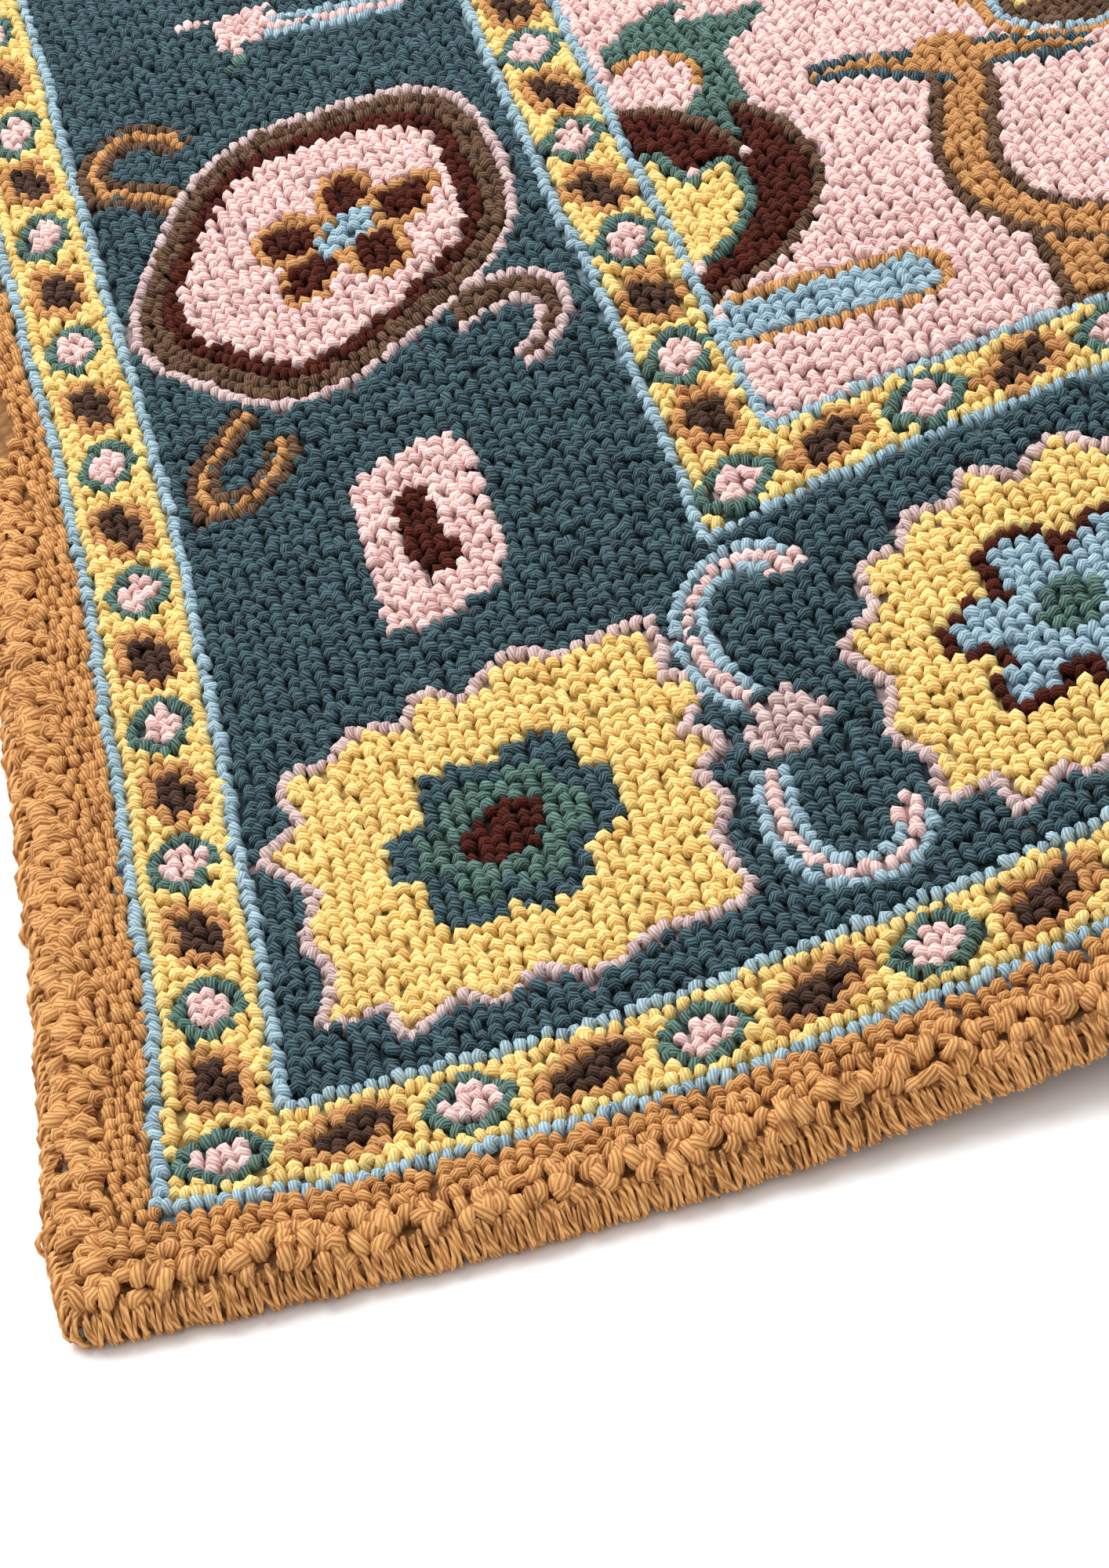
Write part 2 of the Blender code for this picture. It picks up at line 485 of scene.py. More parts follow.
def inside(path: Points, places: Points) -> np.ndarray:
    """Which places a closed outline holds."""
    held = np.zeros(len(places), dtype=bool)
    low, high = path.min(axis=0), path.max(axis=0)
    close = np.flatnonzero(np.all((places >= low) & (places <= high), axis=1))
    if len(close) == 0:
        return held
    x, y = places[close, 0], places[close, 1]
    odd = np.zeros(len(close), dtype=bool)
    for (x0, y0), (x1, y1) in zip(path, np.roll(path, -1, axis=0)):
        if y0 != y1:
            odd ^= ((y0 > y) != (y1 > y)) & (x < (x1 - x0) * (y - y0) / (y1 - y0) + x0)
    held[close] = odd
    return held


def distance_to(path: Points, places: Points, closed: bool, reach: float) -> np.ndarray:
    """How far each place is from a path, or the reach if that is less."""
    away = np.full(len(places), reach)
    low, high = path.min(axis=0) - reach, path.max(axis=0) + reach
    close = np.flatnonzero(np.all((places >= low) & (places <= high), axis=1))
    if len(close) == 0:
        return away
    ends = np.vstack([path, path[:1]]) if closed else path
    here = places[close]
    for first, last in zip(ends[:-1], ends[1:]):
        span = last - first
        share = np.clip((here - first) @ span / max(span @ span, 1e-12), 0, 1)
        gap = np.linalg.norm(here - first - share[:, None] * span, axis=1)
        away[close] = np.minimum(away[close], gap)
    return away


@dataclass
class Design:
    """The rug's pattern: camel edge, two guard stripes of lozenges, a flowered border and field."""

    marks: list[Mark] = field(default_factory=list)

    def draw(self) -> None:
        """Draws the whole pattern, each thing over what was drawn before it."""
        self.marks += self.line_rows()
        self.marks += self.guard_stripe(CORNER_LOZENGE, STEPS_ACROSS, STEPS_ALONG)
        self.marks += self.guard_stripe(INNER_LOZENGE, INNER_STEPS_ACROSS, INNER_STEPS_ALONG)
        self.marks += self.border()
        self.marks += self.field()
        self.marks += self.corner_sprays()
        self.marks = [mark.along(strayed(mark.path)) for mark in self.marks]

    def line_rows(self) -> list[Mark]:
        """The single light-blue rows between the bands, each with a yellow row on its stripe's side."""
        rows = []
        lines = ((OUTER_STRIPE, 1), (BORDER_START, -1), (BORDER_END, 1), (FIELD_START, -1))
        for inset, yellow_side in lines:
            for yarn, at in ((Yarn.YELLOW, inset + yellow_side * LINE_SPACING), (Yarn.LIGHT_BLUE, inset)):
                corners = np.array([(at, at), (WIDTH - at, at), (WIDTH - at, LENGTH - at), (at, LENGTH - at)])
                share = np.linspace(0, 1, 80)[:, None]
                for first, last in zip(corners, np.roll(corners, -1, axis=0)):
                    rows.append(row(first + share * (last - first), yarn))
        return rows

    def diamond(self) -> list[Mark]:
        """A small pink diamond in a grey-green outline, along its stripe."""
        return [
            Mark(oval(0.0105, 0.0088, power=1.3), Yarn.PINK),
            row(oval(0.0112, 0.0096, power=1.35), Yarn.GREY_GREEN, closed=True),
        ]

    def lozenge(self) -> list[Mark]:
        """A slanting dark-brown lozenge in a camel surround."""
        return [
            Mark(oval(0.0155, 0.0100, radians(18)), Yarn.TAN),
            Mark(oval(0.0105, 0.0052, radians(24)), Yarn.DARK_BROWN),
        ]

    def guard_stripe(self, inset: float, across: int, along: int) -> list[Mark]:
        """Diamonds at every step round the rug, with lozenges half way between.

        Args:
            inset: How far the line of lozenges is in from the edge.
            across: Steps along the front edge.
            along: Steps along the left edge.

        Returns:
            The stripe's marks.
        """
        marks = []
        step_s, step_t = (WIDTH - 2 * inset) / across, (LENGTH - 2 * inset) / along
        stops = []
        for half in range(2 * across + 1):
            for t in (inset, LENGTH - inset):
                stops.append((inset + half * step_s / 2, t, half, 0.0))
        for half in range(1, 2 * along):
            for s in (inset, WIDTH - inset):
                stops.append((s, inset + half * step_t / 2, half, pi / 2))
        for s, t, half, turn in stops:
            shape = self.lozenge() if half % 2 else self.diamond()
            marks += placed(shape, s, t, turn)
        return marks

    def jagged_rosette(self, heart: list[Mark], reach: float = 0.0655, power: float = 5.0) -> list[Mark]:
        """A yellow rosette with a jagged mauve outline, round the flower that heart gives."""
        outline = toothed(15, reach, reach * 0.83, power)
        return [Mark(outline, Yarn.YELLOW), row(outline, Yarn.MAUVE, closed=True), *heart]

    def teal_flower(self) -> list[Mark]:
        """A six-lobed teal flower with a grey-green middle and a red-brown heart."""
        return [
            Mark(lobed(6, 0.0350, 0.0245, radians(-5)), Yarn.TEAL),
            Mark(lobed(6, 0.0260, 0.0175, radians(-5)), Yarn.GREY_GREEN),
            Mark(oval(0.0120, 0.0100, radians(35)), Yarn.RED_BROWN),
        ]

    def blue_flower(self) -> list[Mark]:
        """A flower of six light-blue petals outlined in red-brown, with a grey-green heart."""
        petals = []
        sizes = ((0.0165, 0.0118, 0.0195, Yarn.RED_BROWN), (0.0132, 0.0080, 0.0190, Yarn.LIGHT_BLUE))
        for long, wide, out, yarn in sizes:
            for turn in np.radians(np.arange(50, 410, 60)):
                petals.append(Mark(oval(long, wide), yarn).placed(out * cos(turn), out * sin(turn), turn))
        return [*petals, Mark(oval(0.0095, 0.0090), Yarn.GREY_GREEN)]

    def palmette(self) -> list[Mark]:
        """A large pink fruit in nested brown rings, with a five-petalled flower and three hooks."""

        def outline(drop: float) -> Points:
            return around(lambda angle: 0.0670 - drop + 0.0026 * np.cos(5 * (angle - radians(110))))

        marks = self.hooks()
        for drop, yarn in ((0.0, Yarn.BROWN), (0.0105, Yarn.RED_BROWN), (0.0170, Yarn.PINK)):
            marks.append(Mark(outline(drop), yarn))
        for ring, yarn in enumerate((Yarn.MAUVE, Yarn.BROWN, Yarn.BROWN, Yarn.RED_BROWN)):
            marks.append(row(outline(0.0042 * ring), yarn, closed=True))
        for long, wide, yarn in ((0.0135, 0.0112, Yarn.TAN), (0.0098, 0.0074, Yarn.RED_BROWN)):
            for petal in range(5):
                turn = radians(78 + 72 * petal)
                s, t = 0.008 + 0.0215 * cos(turn), -0.002 + 0.0180 * sin(turn)
                marks.append(Mark(oval(long, wide), yarn).placed(s, t, turn))
        marks.append(Mark(oval(0.0110, 0.0078, radians(25)), Yarn.LIGHT_BLUE).placed(0.008, -0.002))
        return marks

    def hooks(self) -> list[Mark]:
        """The palmette's two tan hooks, with brown rows on both sides, and its broader brown one."""
        marks = []
        for path in (UPPER_HOOK, LOWER_HOOK):
            stalk = curve_through(path, 6)
            marks += [*edge_rows(stalk, 0.0040, Yarn.BROWN), row(stalk, Yarn.TAN)]
        left, right = tapered(curve_through(BROWN_HOOK), 0.0072, 0.0030)
        marks.append(Mark(np.vstack([left, right[::-1]]), Yarn.BROWN))
        return [*marks, row(left, Yarn.MAUVE), row(right, Yarn.MAUVE)]

    def small_flower(self) -> list[Mark]:
        """An upright pink block with a dark heart."""
        return [
            Mark(oval(0.0205, 0.0360, power=4.5), Yarn.PINK),
            Mark(oval(0.0065, 0.0205, radians(8), power=3.0), Yarn.RED_BROWN),
        ]

    def plume(self) -> list[Mark]:
        """A small jagged pink plume, with an arm of pink between light-blue rows."""
        arm = curve_through(((0.008, -0.006), (0.030, -0.016), (0.056, -0.027)))
        return [
            Mark(toothed(7, 0.0150, 0.0090, 3.0), Yarn.PINK),
            row(crook((-0.010, 0.012), 150, 0.010, 0.006, 60), Yarn.PINK),
            row(crook((-0.002, -0.016), 200, 0.006, 0.006, 40), Yarn.GREY_GREEN),
            *edge_rows(arm, 0.0040, Yarn.LIGHT_BLUE),
            row(arm, Yarn.PINK),
        ]

    def scroll(self) -> list[Mark]:
        """A mauve boss with two C-shaped scrolls, pink between light-blue rows, that end in pink buds."""
        marks = []
        for path in (UPPER_SCROLL, LOWER_SCROLL):
            stalk = curve_through(path, 6)
            marks += [*edge_rows(stalk, 0.0041, Yarn.LIGHT_BLUE), row(stalk, Yarn.PINK)]
            marks.append(Mark(oval(0.0055, 0.0045), Yarn.PINK).placed(*path[-1]))
        marks.append(Mark(oval(0.0112, 0.0125), Yarn.MAUVE))
        return marks

    def border(self) -> list[Mark]:
        """Rosettes and palmettes down the long sides, rosettes and scrolls along the ends."""
        marks: list[Mark] = []
        teal_rosette = self.jagged_rosette(self.teal_flower())
        blue_rosette = self.jagged_rosette(self.blue_flower(), 0.0615, 2.9)
        corner, second = BORDER_MIDDLE, 0.297
        stations = [corner, *np.linspace(second, WIDTH - second, 7), WIDTH - corner]
        for edge_t in (corner, LENGTH - corner):
            for k, s in enumerate(stations):
                rosette, rise = (blue_rosette, -0.003) if k % 2 else (teal_rosette, 0.004)
                marks += placed(rosette, s - 0.002, edge_t + rise)
            for left, right in zip(stations[:-1], stations[1:]):
                marks += placed(self.scroll(), (left + right) / 2 - 0.002, edge_t)
        rises = np.linspace(corner, LENGTH - corner, 17)
        for flip, edge_s in ((False, corner), (True, WIDTH - corner)):
            for k, t in enumerate(rises[1:-1], start=1):
                shape = (teal_rosette, self.small_flower(), self.palmette(), self.plume())[k % 4]
                drop = -0.007 if k % 2 else 0.0
                marks += placed(shape, edge_s, t + drop, flip=flip)
        return marks

    def field(self) -> list[Mark]:
        """A lobed medallion with a smaller one at each end of it, and vines and flowers all round."""
        marks: list[Mark] = []
        middle_s, middle_t = WIDTH / 2, LENGTH / 2
        medallion = (
            (0.300, Yarn.BROWN),
            (0.290, Yarn.TEAL),
            (0.205, Yarn.YELLOW),
            (0.196, Yarn.GREY_GREEN),
            (0.135, Yarn.TAN),
            (0.125, Yarn.PINK),
        )
        for shift, share, lobes in ((-0.46, 0.36, 8), (0.46, 0.36, 8), (0.0, 1.0, 12)):
            for reach, yarn in medallion:
                outline = lobed(lobes, reach * share, reach * share * 0.87)
                marks.append(Mark(outline, yarn).placed(middle_s, middle_t + shift))
        marks += placed(self.jagged_rosette(self.teal_flower()), middle_s, middle_t)
        quarter: list[Mark] = []
        stalk = curve_through(FIELD_VINE)
        quarter += [Mark(band(stalk, 0.0080), Yarn.TAN), row(beside(stalk, 0.0090), Yarn.BROWN)]
        leaf = Mark(oval(0.034, 0.013, power=1.5), Yarn.GREY_GREEN)
        for s, t, degrees in FIELD_LEAVES:
            turn = radians(degrees)
            quarter.append(leaf.placed(s + 0.03 * cos(turn), t, turn))
        for s, t in ((0.60, 0.36), (0.32, 0.86), (0.56, 0.64)):
            quarter += placed(self.jagged_rosette(self.blue_flower(), 0.0520), s, t)
        for s, t in ((0.30, 0.60), (0.50, 0.30), (0.30, 1.13), (0.64, 0.50)):
            for crest, notch, yarn in ((0.030, 0.020, Yarn.RED_BROWN), (0.022, 0.013, Yarn.LIGHT_BLUE)):
                quarter.append(Mark(lobed(5, crest, notch), yarn).placed(s, t))
        return marks + in_quarters(quarter)

    def corner_sprays(self) -> list[Mark]:
        """The flowers in each corner of the field."""
        sprays = [*self.half_lotus(), *self.barred_leaf(), *self.vine()]
        kept_in = FIELD_START + 0.5 * ROW_PITCH
        return in_quarters([mark.along(np.maximum(mark.path, kept_in)) for mark in sprays])

    def half_lotus(self) -> list[Mark]:
        """A lotus out of the inner stripe: a green leaf, a pink bulb, red-brown sepals and a yellow petal."""
        leaf = Mark(curve_through(LOTUS_LEAF), Yarn.GREY_GREEN)
        bulb = oval(0.0175, 0.0215, radians(-20))
        steps = 24
        sweep = np.radians(np.linspace(-100, 42, steps))
        way = np.stack([np.cos(sweep), np.sin(sweep)], axis=1)
        thick = 0.0225 * np.sin(np.linspace(0.0, pi - 0.10, steps)) ** 0.6
        outer = LOTUS_FOOT + SEPAL_REACH * way
        inner = LOTUS_FOOT + (SEPAL_REACH - thick[:, None]) * way
        sepal = Mark(np.vstack([outer, inner[::-1]]), Yarn.RED_BROWN)
        wedge = curve_through(((0.238, 0.400), (0.256, 0.388), (0.268, 0.366), (0.266, 0.357)))
        under = curve_through(((0.266, 0.357), (0.256, 0.353), (0.247, 0.366), (0.237, 0.380)))
        petal = np.vstack([curve_through(YELLOW_LOBES), [(0.2375, 0.312), (0.2375, 0.372)]])
        return [
            leaf,
            Mark(bulb, Yarn.PINK).placed(0.2500, 0.4030),
            row(bulb[:16], Yarn.TAN).placed(0.2505, 0.4035),
            Mark(petal, Yarn.YELLOW),
            sepal,
            Mark(np.vstack([wedge, under]), Yarn.RED_BROWN),
            row(wedge[:-4], Yarn.BROWN),
            row(outer[1:], Yarn.BROWN),
            row(curve_through(YELLOW_LOBES)[3:-3], Yarn.GREY_GREEN),
        ]

    def barred_leaf(self) -> list[Mark]:
        """A light-blue bar with a round end, edged in tan."""
        half = 0.0105
        bar = np.array([(0.2390, 0.2830), (0.2960, 0.2740)])
        edge = band(bar, half)
        rounded = np.vstack([edge[:2], crook(tuple(edge[1]), -9, 0.0, half, -180)[1:], edge[2:]])
        return [Mark(rounded, Yarn.LIGHT_BLUE), row(rounded, Yarn.TAN)]

    def vine(self) -> list[Mark]:
        """A broad tan vine edged in brown, that ends in a bud with two leaves edged in teal."""
        marks = []
        for path, half in ((SPRAY_ROOT, 0.0085), (SPRAY_STEM, 0.0078)):
            stem = curve_through(path)
            marks += [Mark(band(stem, half), Yarn.TAN), *edge_rows(stem, half + 0.0006, Yarn.BROWN)]
        wide, narrow, beyond = 0.0068, 0.0010, 0.0020
        for path in SPRAY_LEAVES:
            leaf = curve_through(path)
            left, right = tapered(leaf, wide, narrow)
            marks.append(Mark(np.vstack([left, right[::-1]]), Yarn.TAN))
            marks += [row(side, Yarn.TEAL) for side in tapered(leaf, wide + beyond, narrow + beyond)]
        marks.append(Mark(oval(0.0105, 0.0150), Yarn.TAN).placed(0.346, 0.382))
        return marks + self.cloud_flower()

    def cloud_flower(self) -> list[Mark]:
        """A lobed brown flower with light-blue and yellow specks, past the vine's bud."""
        cloud = lobed(5, 0.040, 0.031, radians(20))
        lining, surround = row(cloud, Yarn.LIGHT_BLUE, closed=True), row(cloud * 1.12, Yarn.TAN, closed=True)
        marks = placed([surround, Mark(cloud, Yarn.BROWN), lining], 0.398, 0.424)
        specks = ((0.380, 0.412, Yarn.YELLOW), (0.402, 0.436, Yarn.LIGHT_BLUE), (0.415, 0.412, Yarn.YELLOW))
        return marks + [Mark(oval(0.0060, 0.0045), yarn).placed(s, t) for s, t, yarn in specks]

    def ground(self, strayed_places: Points) -> np.ndarray:
        """The band's own yarn at each place, as its number in YARNS."""
        places = 2 * strayed_places - strayed(strayed_places)
        s, t = places[:, 0], places[:, 1]
        inset = np.minimum.reduce([s, t, WIDTH - s, LENGTH - t])
        bands = (
            (OUTER_STRIPE, Yarn.CAMEL),
            (BORDER_START, Yarn.YELLOW),
            (BORDER_END, Yarn.TEAL),
            (FIELD_START, Yarn.YELLOW),
            (LENGTH, Yarn.PINK),
        )
        found = np.full(len(places), YARNS.index(Yarn.PINK))
        for end, yarn in reversed(bands):
            found[inset < end] = YARNS.index(yarn)
        return found

    def yarns(self, places: Points, rows_too: bool) -> np.ndarray:
        """The yarn at each place.

        Args:
            places: Plan places.
            rows_too: Whether single rows count, or only filled areas.

        Returns:
            Each place's yarn, as its number in YARNS.
        """
        found = self.ground(places)
        for mark in self.marks:
            if mark.filled:
                found[inside(mark.path, places)] = YARNS.index(mark.yarn)
            elif rows_too:
                away = distance_to(mark.path, places, mark.closed, ROW_PITCH)
                found[away < ROW_HALF] = YARNS.index(mark.yarn)
        return found


# A wave texture of this scale repeats once in a metre.
WAVE_SCALE = 0.314


class Term:
    """A number that runs through a shader, with the arithmetic that is used on it."""

    def __init__(self, sheet: NodeSheet, socket: bpy.types.NodeSocket) -> None:
        """Wraps a socket of a node sheet."""
        self.sheet = sheet
        self.socket = socket

    def __add__(self, other: Term | float) -> Term:
        """The sum."""
        return self.sheet.maths("ADD", self, other)

    __radd__ = __add__

    def __sub__(self, other: Term | float) -> Term:
        """The difference."""
        return self.sheet.maths("SUBTRACT", self, other)

    def __rsub__(self, other: Term | float) -> Term:
        """The difference, the other way round."""
        return self.sheet.maths("SUBTRACT", other, self)

    def __mul__(self, other: Term | float) -> Term:
        """The product."""
        return self.sheet.maths("MULTIPLY", self, other)

    __rmul__ = __mul__


class NodeSheet:
    """A node tree being laid out."""

    def __init__(self, tree: bpy.types.NodeTree) -> None:
        """Keeps the tree that nodes are added to."""
        self.tree = tree

    def node(self, kind: str, settings: dict | None = None, values: dict | None = None) -> bpy.types.Node:
        """Adds a node.

        Args:
            kind: The node's type.
            settings: Its own settings, set before its sockets.
            values: A value or a term for each socket, by name or number.

        Returns:
            The node.
        """
        added = self.tree.nodes.new(kind)
        for name, setting in (settings or {}).items():
            setattr(added, name, setting)
        for socket, value in (values or {}).items():
            if isinstance(value, Term):
                self.tree.links.new(value.socket, added.inputs[socket])
            else:
                added.inputs[socket].default_value = value
        return added

    def term(
        self, kind: str, output: str | int = 0, settings: dict | None = None, values: dict | None = None
    ) -> Term:
        """Adds a node and gives one of its outputs."""
        return Term(self, self.node(kind, settings, values).outputs[output])

    def maths(self, operation: str, *operands: Term | float) -> Term:
        """A Math node on numbers."""
        return self.term("ShaderNodeMath", 0, {"operation": operation}, dict(enumerate(operands)))

    def blend(
        self, share: Term | float, first: Term | Colour, second: Term | Colour, way: str = "MIX"
    ) -> Term:
        """A Mix node on colours."""
        settings = {"data_type": "RGBA", "blend_type": way, "clamp_factor": True}
        return self.term("ShaderNodeMix", 2, settings, {0: share, 6: first, 7: second})

    def within(self, value: Term, low: float, high: float) -> Term:
        """How far a number is from low to high, kept from 0 to 1."""
        settings = {"interpolation_type": "SMOOTHSTEP", "clamp": True}
        return self.term("ShaderNodeMapRange", 0, settings, {0: value, 1: low, 2: high})

    def attribute(self, name: str, output: str = "Fac") -> Term:
        """A named attribute of the mesh."""
        return self.term("ShaderNodeAttribute", output, {"attribute_name": name})

    def uv(self, name: str) -> Term:
        """A named UV map."""
        return self.term("ShaderNodeUVMap", 0, {"uv_map": name})

    def noise(self, place: Term, scale: float, detail: float) -> Term:
        """Cloudy noise from 0 to 1."""
        values = {"Vector": place, "Scale": scale, "Detail": detail}
        return self.term("ShaderNodeTexNoise", "Fac", None, values)

    def waves(self, place: Term, pitch: float, direction: str, uneven: float = 0.0) -> Term:
        """Even stripes of a pitch in metres, square to a direction."""
        values = {"Vector": place, "Scale": WAVE_SCALE / pitch, "Distortion": uneven}
        if uneven:
            values |= {"Detail": 2.0, "Detail Scale": 2.0}
        return self.term("ShaderNodeTexWave", "Fac", {"bands_direction": direction}, values)

    def dress(
        self, shader: bpy.types.Node, colour: Term, height: Term, depth: float, strength: float
    ) -> None:
        """Gives a shader its colour, and its bump of a depth in metres.

        Args:
            shader: The Principled shader.
            colour: The base colour.
            height: The relief, from 0 to 1.
            depth: How deep the relief is.
            strength: How strongly it shows.
        """
        self.tree.links.new(colour.socket, shader.inputs["Base Color"])
        bump = self.node("ShaderNodeBump", None, {"Strength": strength, "Distance": depth, "Height": height})
        self.tree.links.new(bump.outputs[0], shader.inputs["Normal"])


def new_material(name: str) -> tuple[bpy.types.Material, NodeSheet, bpy.types.Node]:
    """An empty material with its node sheet and its Principled shader."""
    material = bpy.data.materials.new(name)
    material.use_nodes = True
    return material, NodeSheet(material.node_tree), material.node_tree.nodes["Principled BSDF"]


def set_wool(shader: bpy.types.Node, sheen: float, tint: Colour) -> None:
    """The values that are the same all over any of the rug's wools."""
    shader.inputs["Roughness"].default_value = 0.92
    shader.inputs["Metallic"].default_value = 0.0
    shader.inputs["Specular IOR Level"].default_value = 0.25
    shader.inputs["Sheen Weight"].default_value = sheen
    shader.inputs["Sheen Roughness"].default_value = 0.6
    shader.inputs["Sheen Tint"].default_value = tint


@dataclass(frozen=True)
class LoopWool:
    """Twisted wool seen close by, with painted highlights and painted shade on its plies and painted shade at
    each loop's feet. Its Yarn map runs once along each loop and once round it.
    """

    yarn: Yarn
    plies: int = 8
    turns: float = 3.0
    foot_shade: float = 0.7
    sheen: float = 0.08
    relief: float = 0.0004

    def material(self) -> bpy.types.Material:
        """Makes the finish."""
        dye = self.yarn.value
        material, sheet, shader = new_material(f"{self.yarn.name.lower()}_wool")
        set_wool(shader, self.sheen, dye.lit)
        place = sheet.uv("Yarn")
        split = sheet.node("ShaderNodeSeparateXYZ", None, {0: place})
        run, round_it = Term(sheet, split.outputs[0]), Term(sheet, split.outputs[1])
        wound = run * self.turns + round_it * self.plies
        ply = sheet.maths("ABSOLUTE", sheet.maths("SINE", wound * pi))
        stretched = sheet.term("ShaderNodeCombineXYZ", 0, None, {0: wound * 2.0, 1: run * 3.0})
        tone = sheet.attribute("tone")
        seeded = sheet.term("ShaderNodeVectorMath", 0, {"operation": "ADD"}, {0: stretched, 1: tone * 37.0})
        fibres = sheet.noise(seeded, 3.6, 4.0)
        foot = sheet.maths("ABSOLUTE", run * 2.0 - 1.0)
        body = sheet.blend(sheet.within(tone + fibres * 0.5 - 0.25, 0.0, 1.0), dye.shade, dye.main)
        # Painted highlight: lighter towards the dye's lit colour on the ply crests.
        lit = sheet.blend(sheet.within(ply + fibres * 0.7 + tone * 0.3, 0.9, 1.75), body, dye.lit)
        # Painted shade in the ply grooves.
        ply_groove_shaded = sheet.blend(sheet.within(1.0 - ply, 0.4, 1.0) * 0.42, lit, dye.shade)
        # Painted shade towards the loop's feet, down among the other loops; foot_shade says how much.
        deep = sheet.blend(sheet.within(foot, 0.5, 1.0) * self.foot_shade, ply_groove_shaded, dye.shade)
        sheet.dress(shader, deep, ply + fibres * 0.8, self.relief, 0.5)
        return material


@dataclass(frozen=True)
class PileWool:
    """The pile seen from further off: each loop a knob of its own tone, on the Plan map in metres, dimmed and
    darkened by painted shade.
    """

    relief: float = 0.0022

    def material(self) -> bpy.types.Material:
        """Makes the finish."""
        material, sheet, shader = new_material("tufted_pile_wool")
        set_wool(shader, 0.0, (0.9, 0.85, 0.8, 1.0))
        by_loops = {0: sheet.uv("Plan"), "Scale": (1 / ROW_PITCH, 1 / LOOP_PITCH, 1.0)}
        knobs = sheet.node(
            "ShaderNodeTexVoronoi",
            {"voronoi_dimensions": "2D"},
            {"Vector": sheet.term("ShaderNodeMapping", 0, None, by_loops), "Scale": 1.0, "Randomness": 0.7},
        )
        gap = Term(sheet, knobs.outputs["Distance"])
        own = sheet.term("ShaderNodeSeparateXYZ", 0, None, {0: Term(sheet, knobs.outputs["Color"])})
        dye = sheet.attribute("dye", "Color")
        # Painted shade colour: the dye darkened to about a third.
        gap_shade = sheet.blend(1.0, dye, (0.30, 0.30, 0.32, 1.0), "MULTIPLY")
        # Painted shade: the dye dimmed all over for the shade that falls among the loops.
        loop_shade_dimmed = sheet.blend(1.0, dye, (0.80, 0.74, 0.71, 1.0), "MULTIPLY")
        paler = sheet.blend(0.03, dye, (1.0, 1.0, 1.0, 1.0))
        body = sheet.blend(own, loop_shade_dimmed, paler)
        # Painted shade towards each knob's edge, in the gaps between the loops.
        shaded = sheet.blend(sheet.within(gap, 0.30, 0.75) * 0.85, body, gap_shade)
        # Painted shade where the sheet is sunk under the loops that are made one by one.
        deep = sheet.blend(sheet.attribute("sunk") * 0.8, shaded, gap_shade)
        sheet.dress(shader, deep, 1.0 - gap, self.relief, 0.8)
        return material


@dataclass(frozen=True)
class WhippingWool:
    """Camel yarn wound over the rim, on the plain strips: strands side by side along the edge, with painted
    shade between them.
    """

    along: str
    pitch: float = 0.0021
    relief: float = 0.0010

    def material(self) -> bpy.types.Material:
        """Makes the finish."""
        dye = Yarn.CAMEL.value
        material, sheet, shader = new_material(f"whipping_wool_{self.along.lower()}")
        set_wool(shader, 0.25, dye.lit)
        place = sheet.term("ShaderNodeTexCoord", "Object")
        strands = sheet.waves(place, self.pitch, self.along, 1.2)
        patch = sheet.noise(place, 900.0, 3.0)
        # Painted shade between the strands: the dye's shade colour in the stripes' troughs.
        body = sheet.blend(strands, dye.shade, dye.main)
        # Lighter in random patches, towards the dye's lit colour.
        mixed = sheet.blend(patch * 0.6, body, dye.lit)
        sheet.dress(shader, mixed, strands + patch * 0.3, self.relief, 0.8)
        return material


@dataclass(frozen=True)
class WovenBacking:
    """Plain-woven grey-green cotton."""

    thread: float = 0.0011
    relief: float = 0.0005

    def material(self) -> bpy.types.Material:
        """Makes the finish."""
        material, sheet, shader = new_material("woven_backing")
        set_wool(shader, 0.1, (0.6, 0.65, 0.62, 1.0))
        place = sheet.term("ShaderNodeTexCoord", "Object")
        weave = sheet.waves(place, self.thread, "X") * sheet.waves(place, self.thread, "Y")
        slub = sheet.noise(place, 60.0, 4.0)
        base = sheet.blend(slub, linear(84, 96, 92), linear(120, 128, 120))
        body = sheet.blend(weave, linear(58, 66, 62), base)
        sheet.dress(shader, body, weave, self.relief, 0.5)
        return material


@dataclass(frozen=True)
class RimRing:
    """One ring of the pile's rim: how far in it is, how high, and how far its pile leans out."""

    inset: float
    height: float
    lean: float


RIM = (
    RimRing(0.0040, 0.0062, radians(140)),
    RimRing(0.0008, 0.0076, radians(100)),
    RimRing(0.0003, 0.0098, radians(80)),
    RimRing(0.0022, 0.0122, radians(45)),
    RimRing(0.0065, 0.0137, radians(15)),
    RimRing(CORNER_RADIUS, PILE_TOP, 0.0),
)


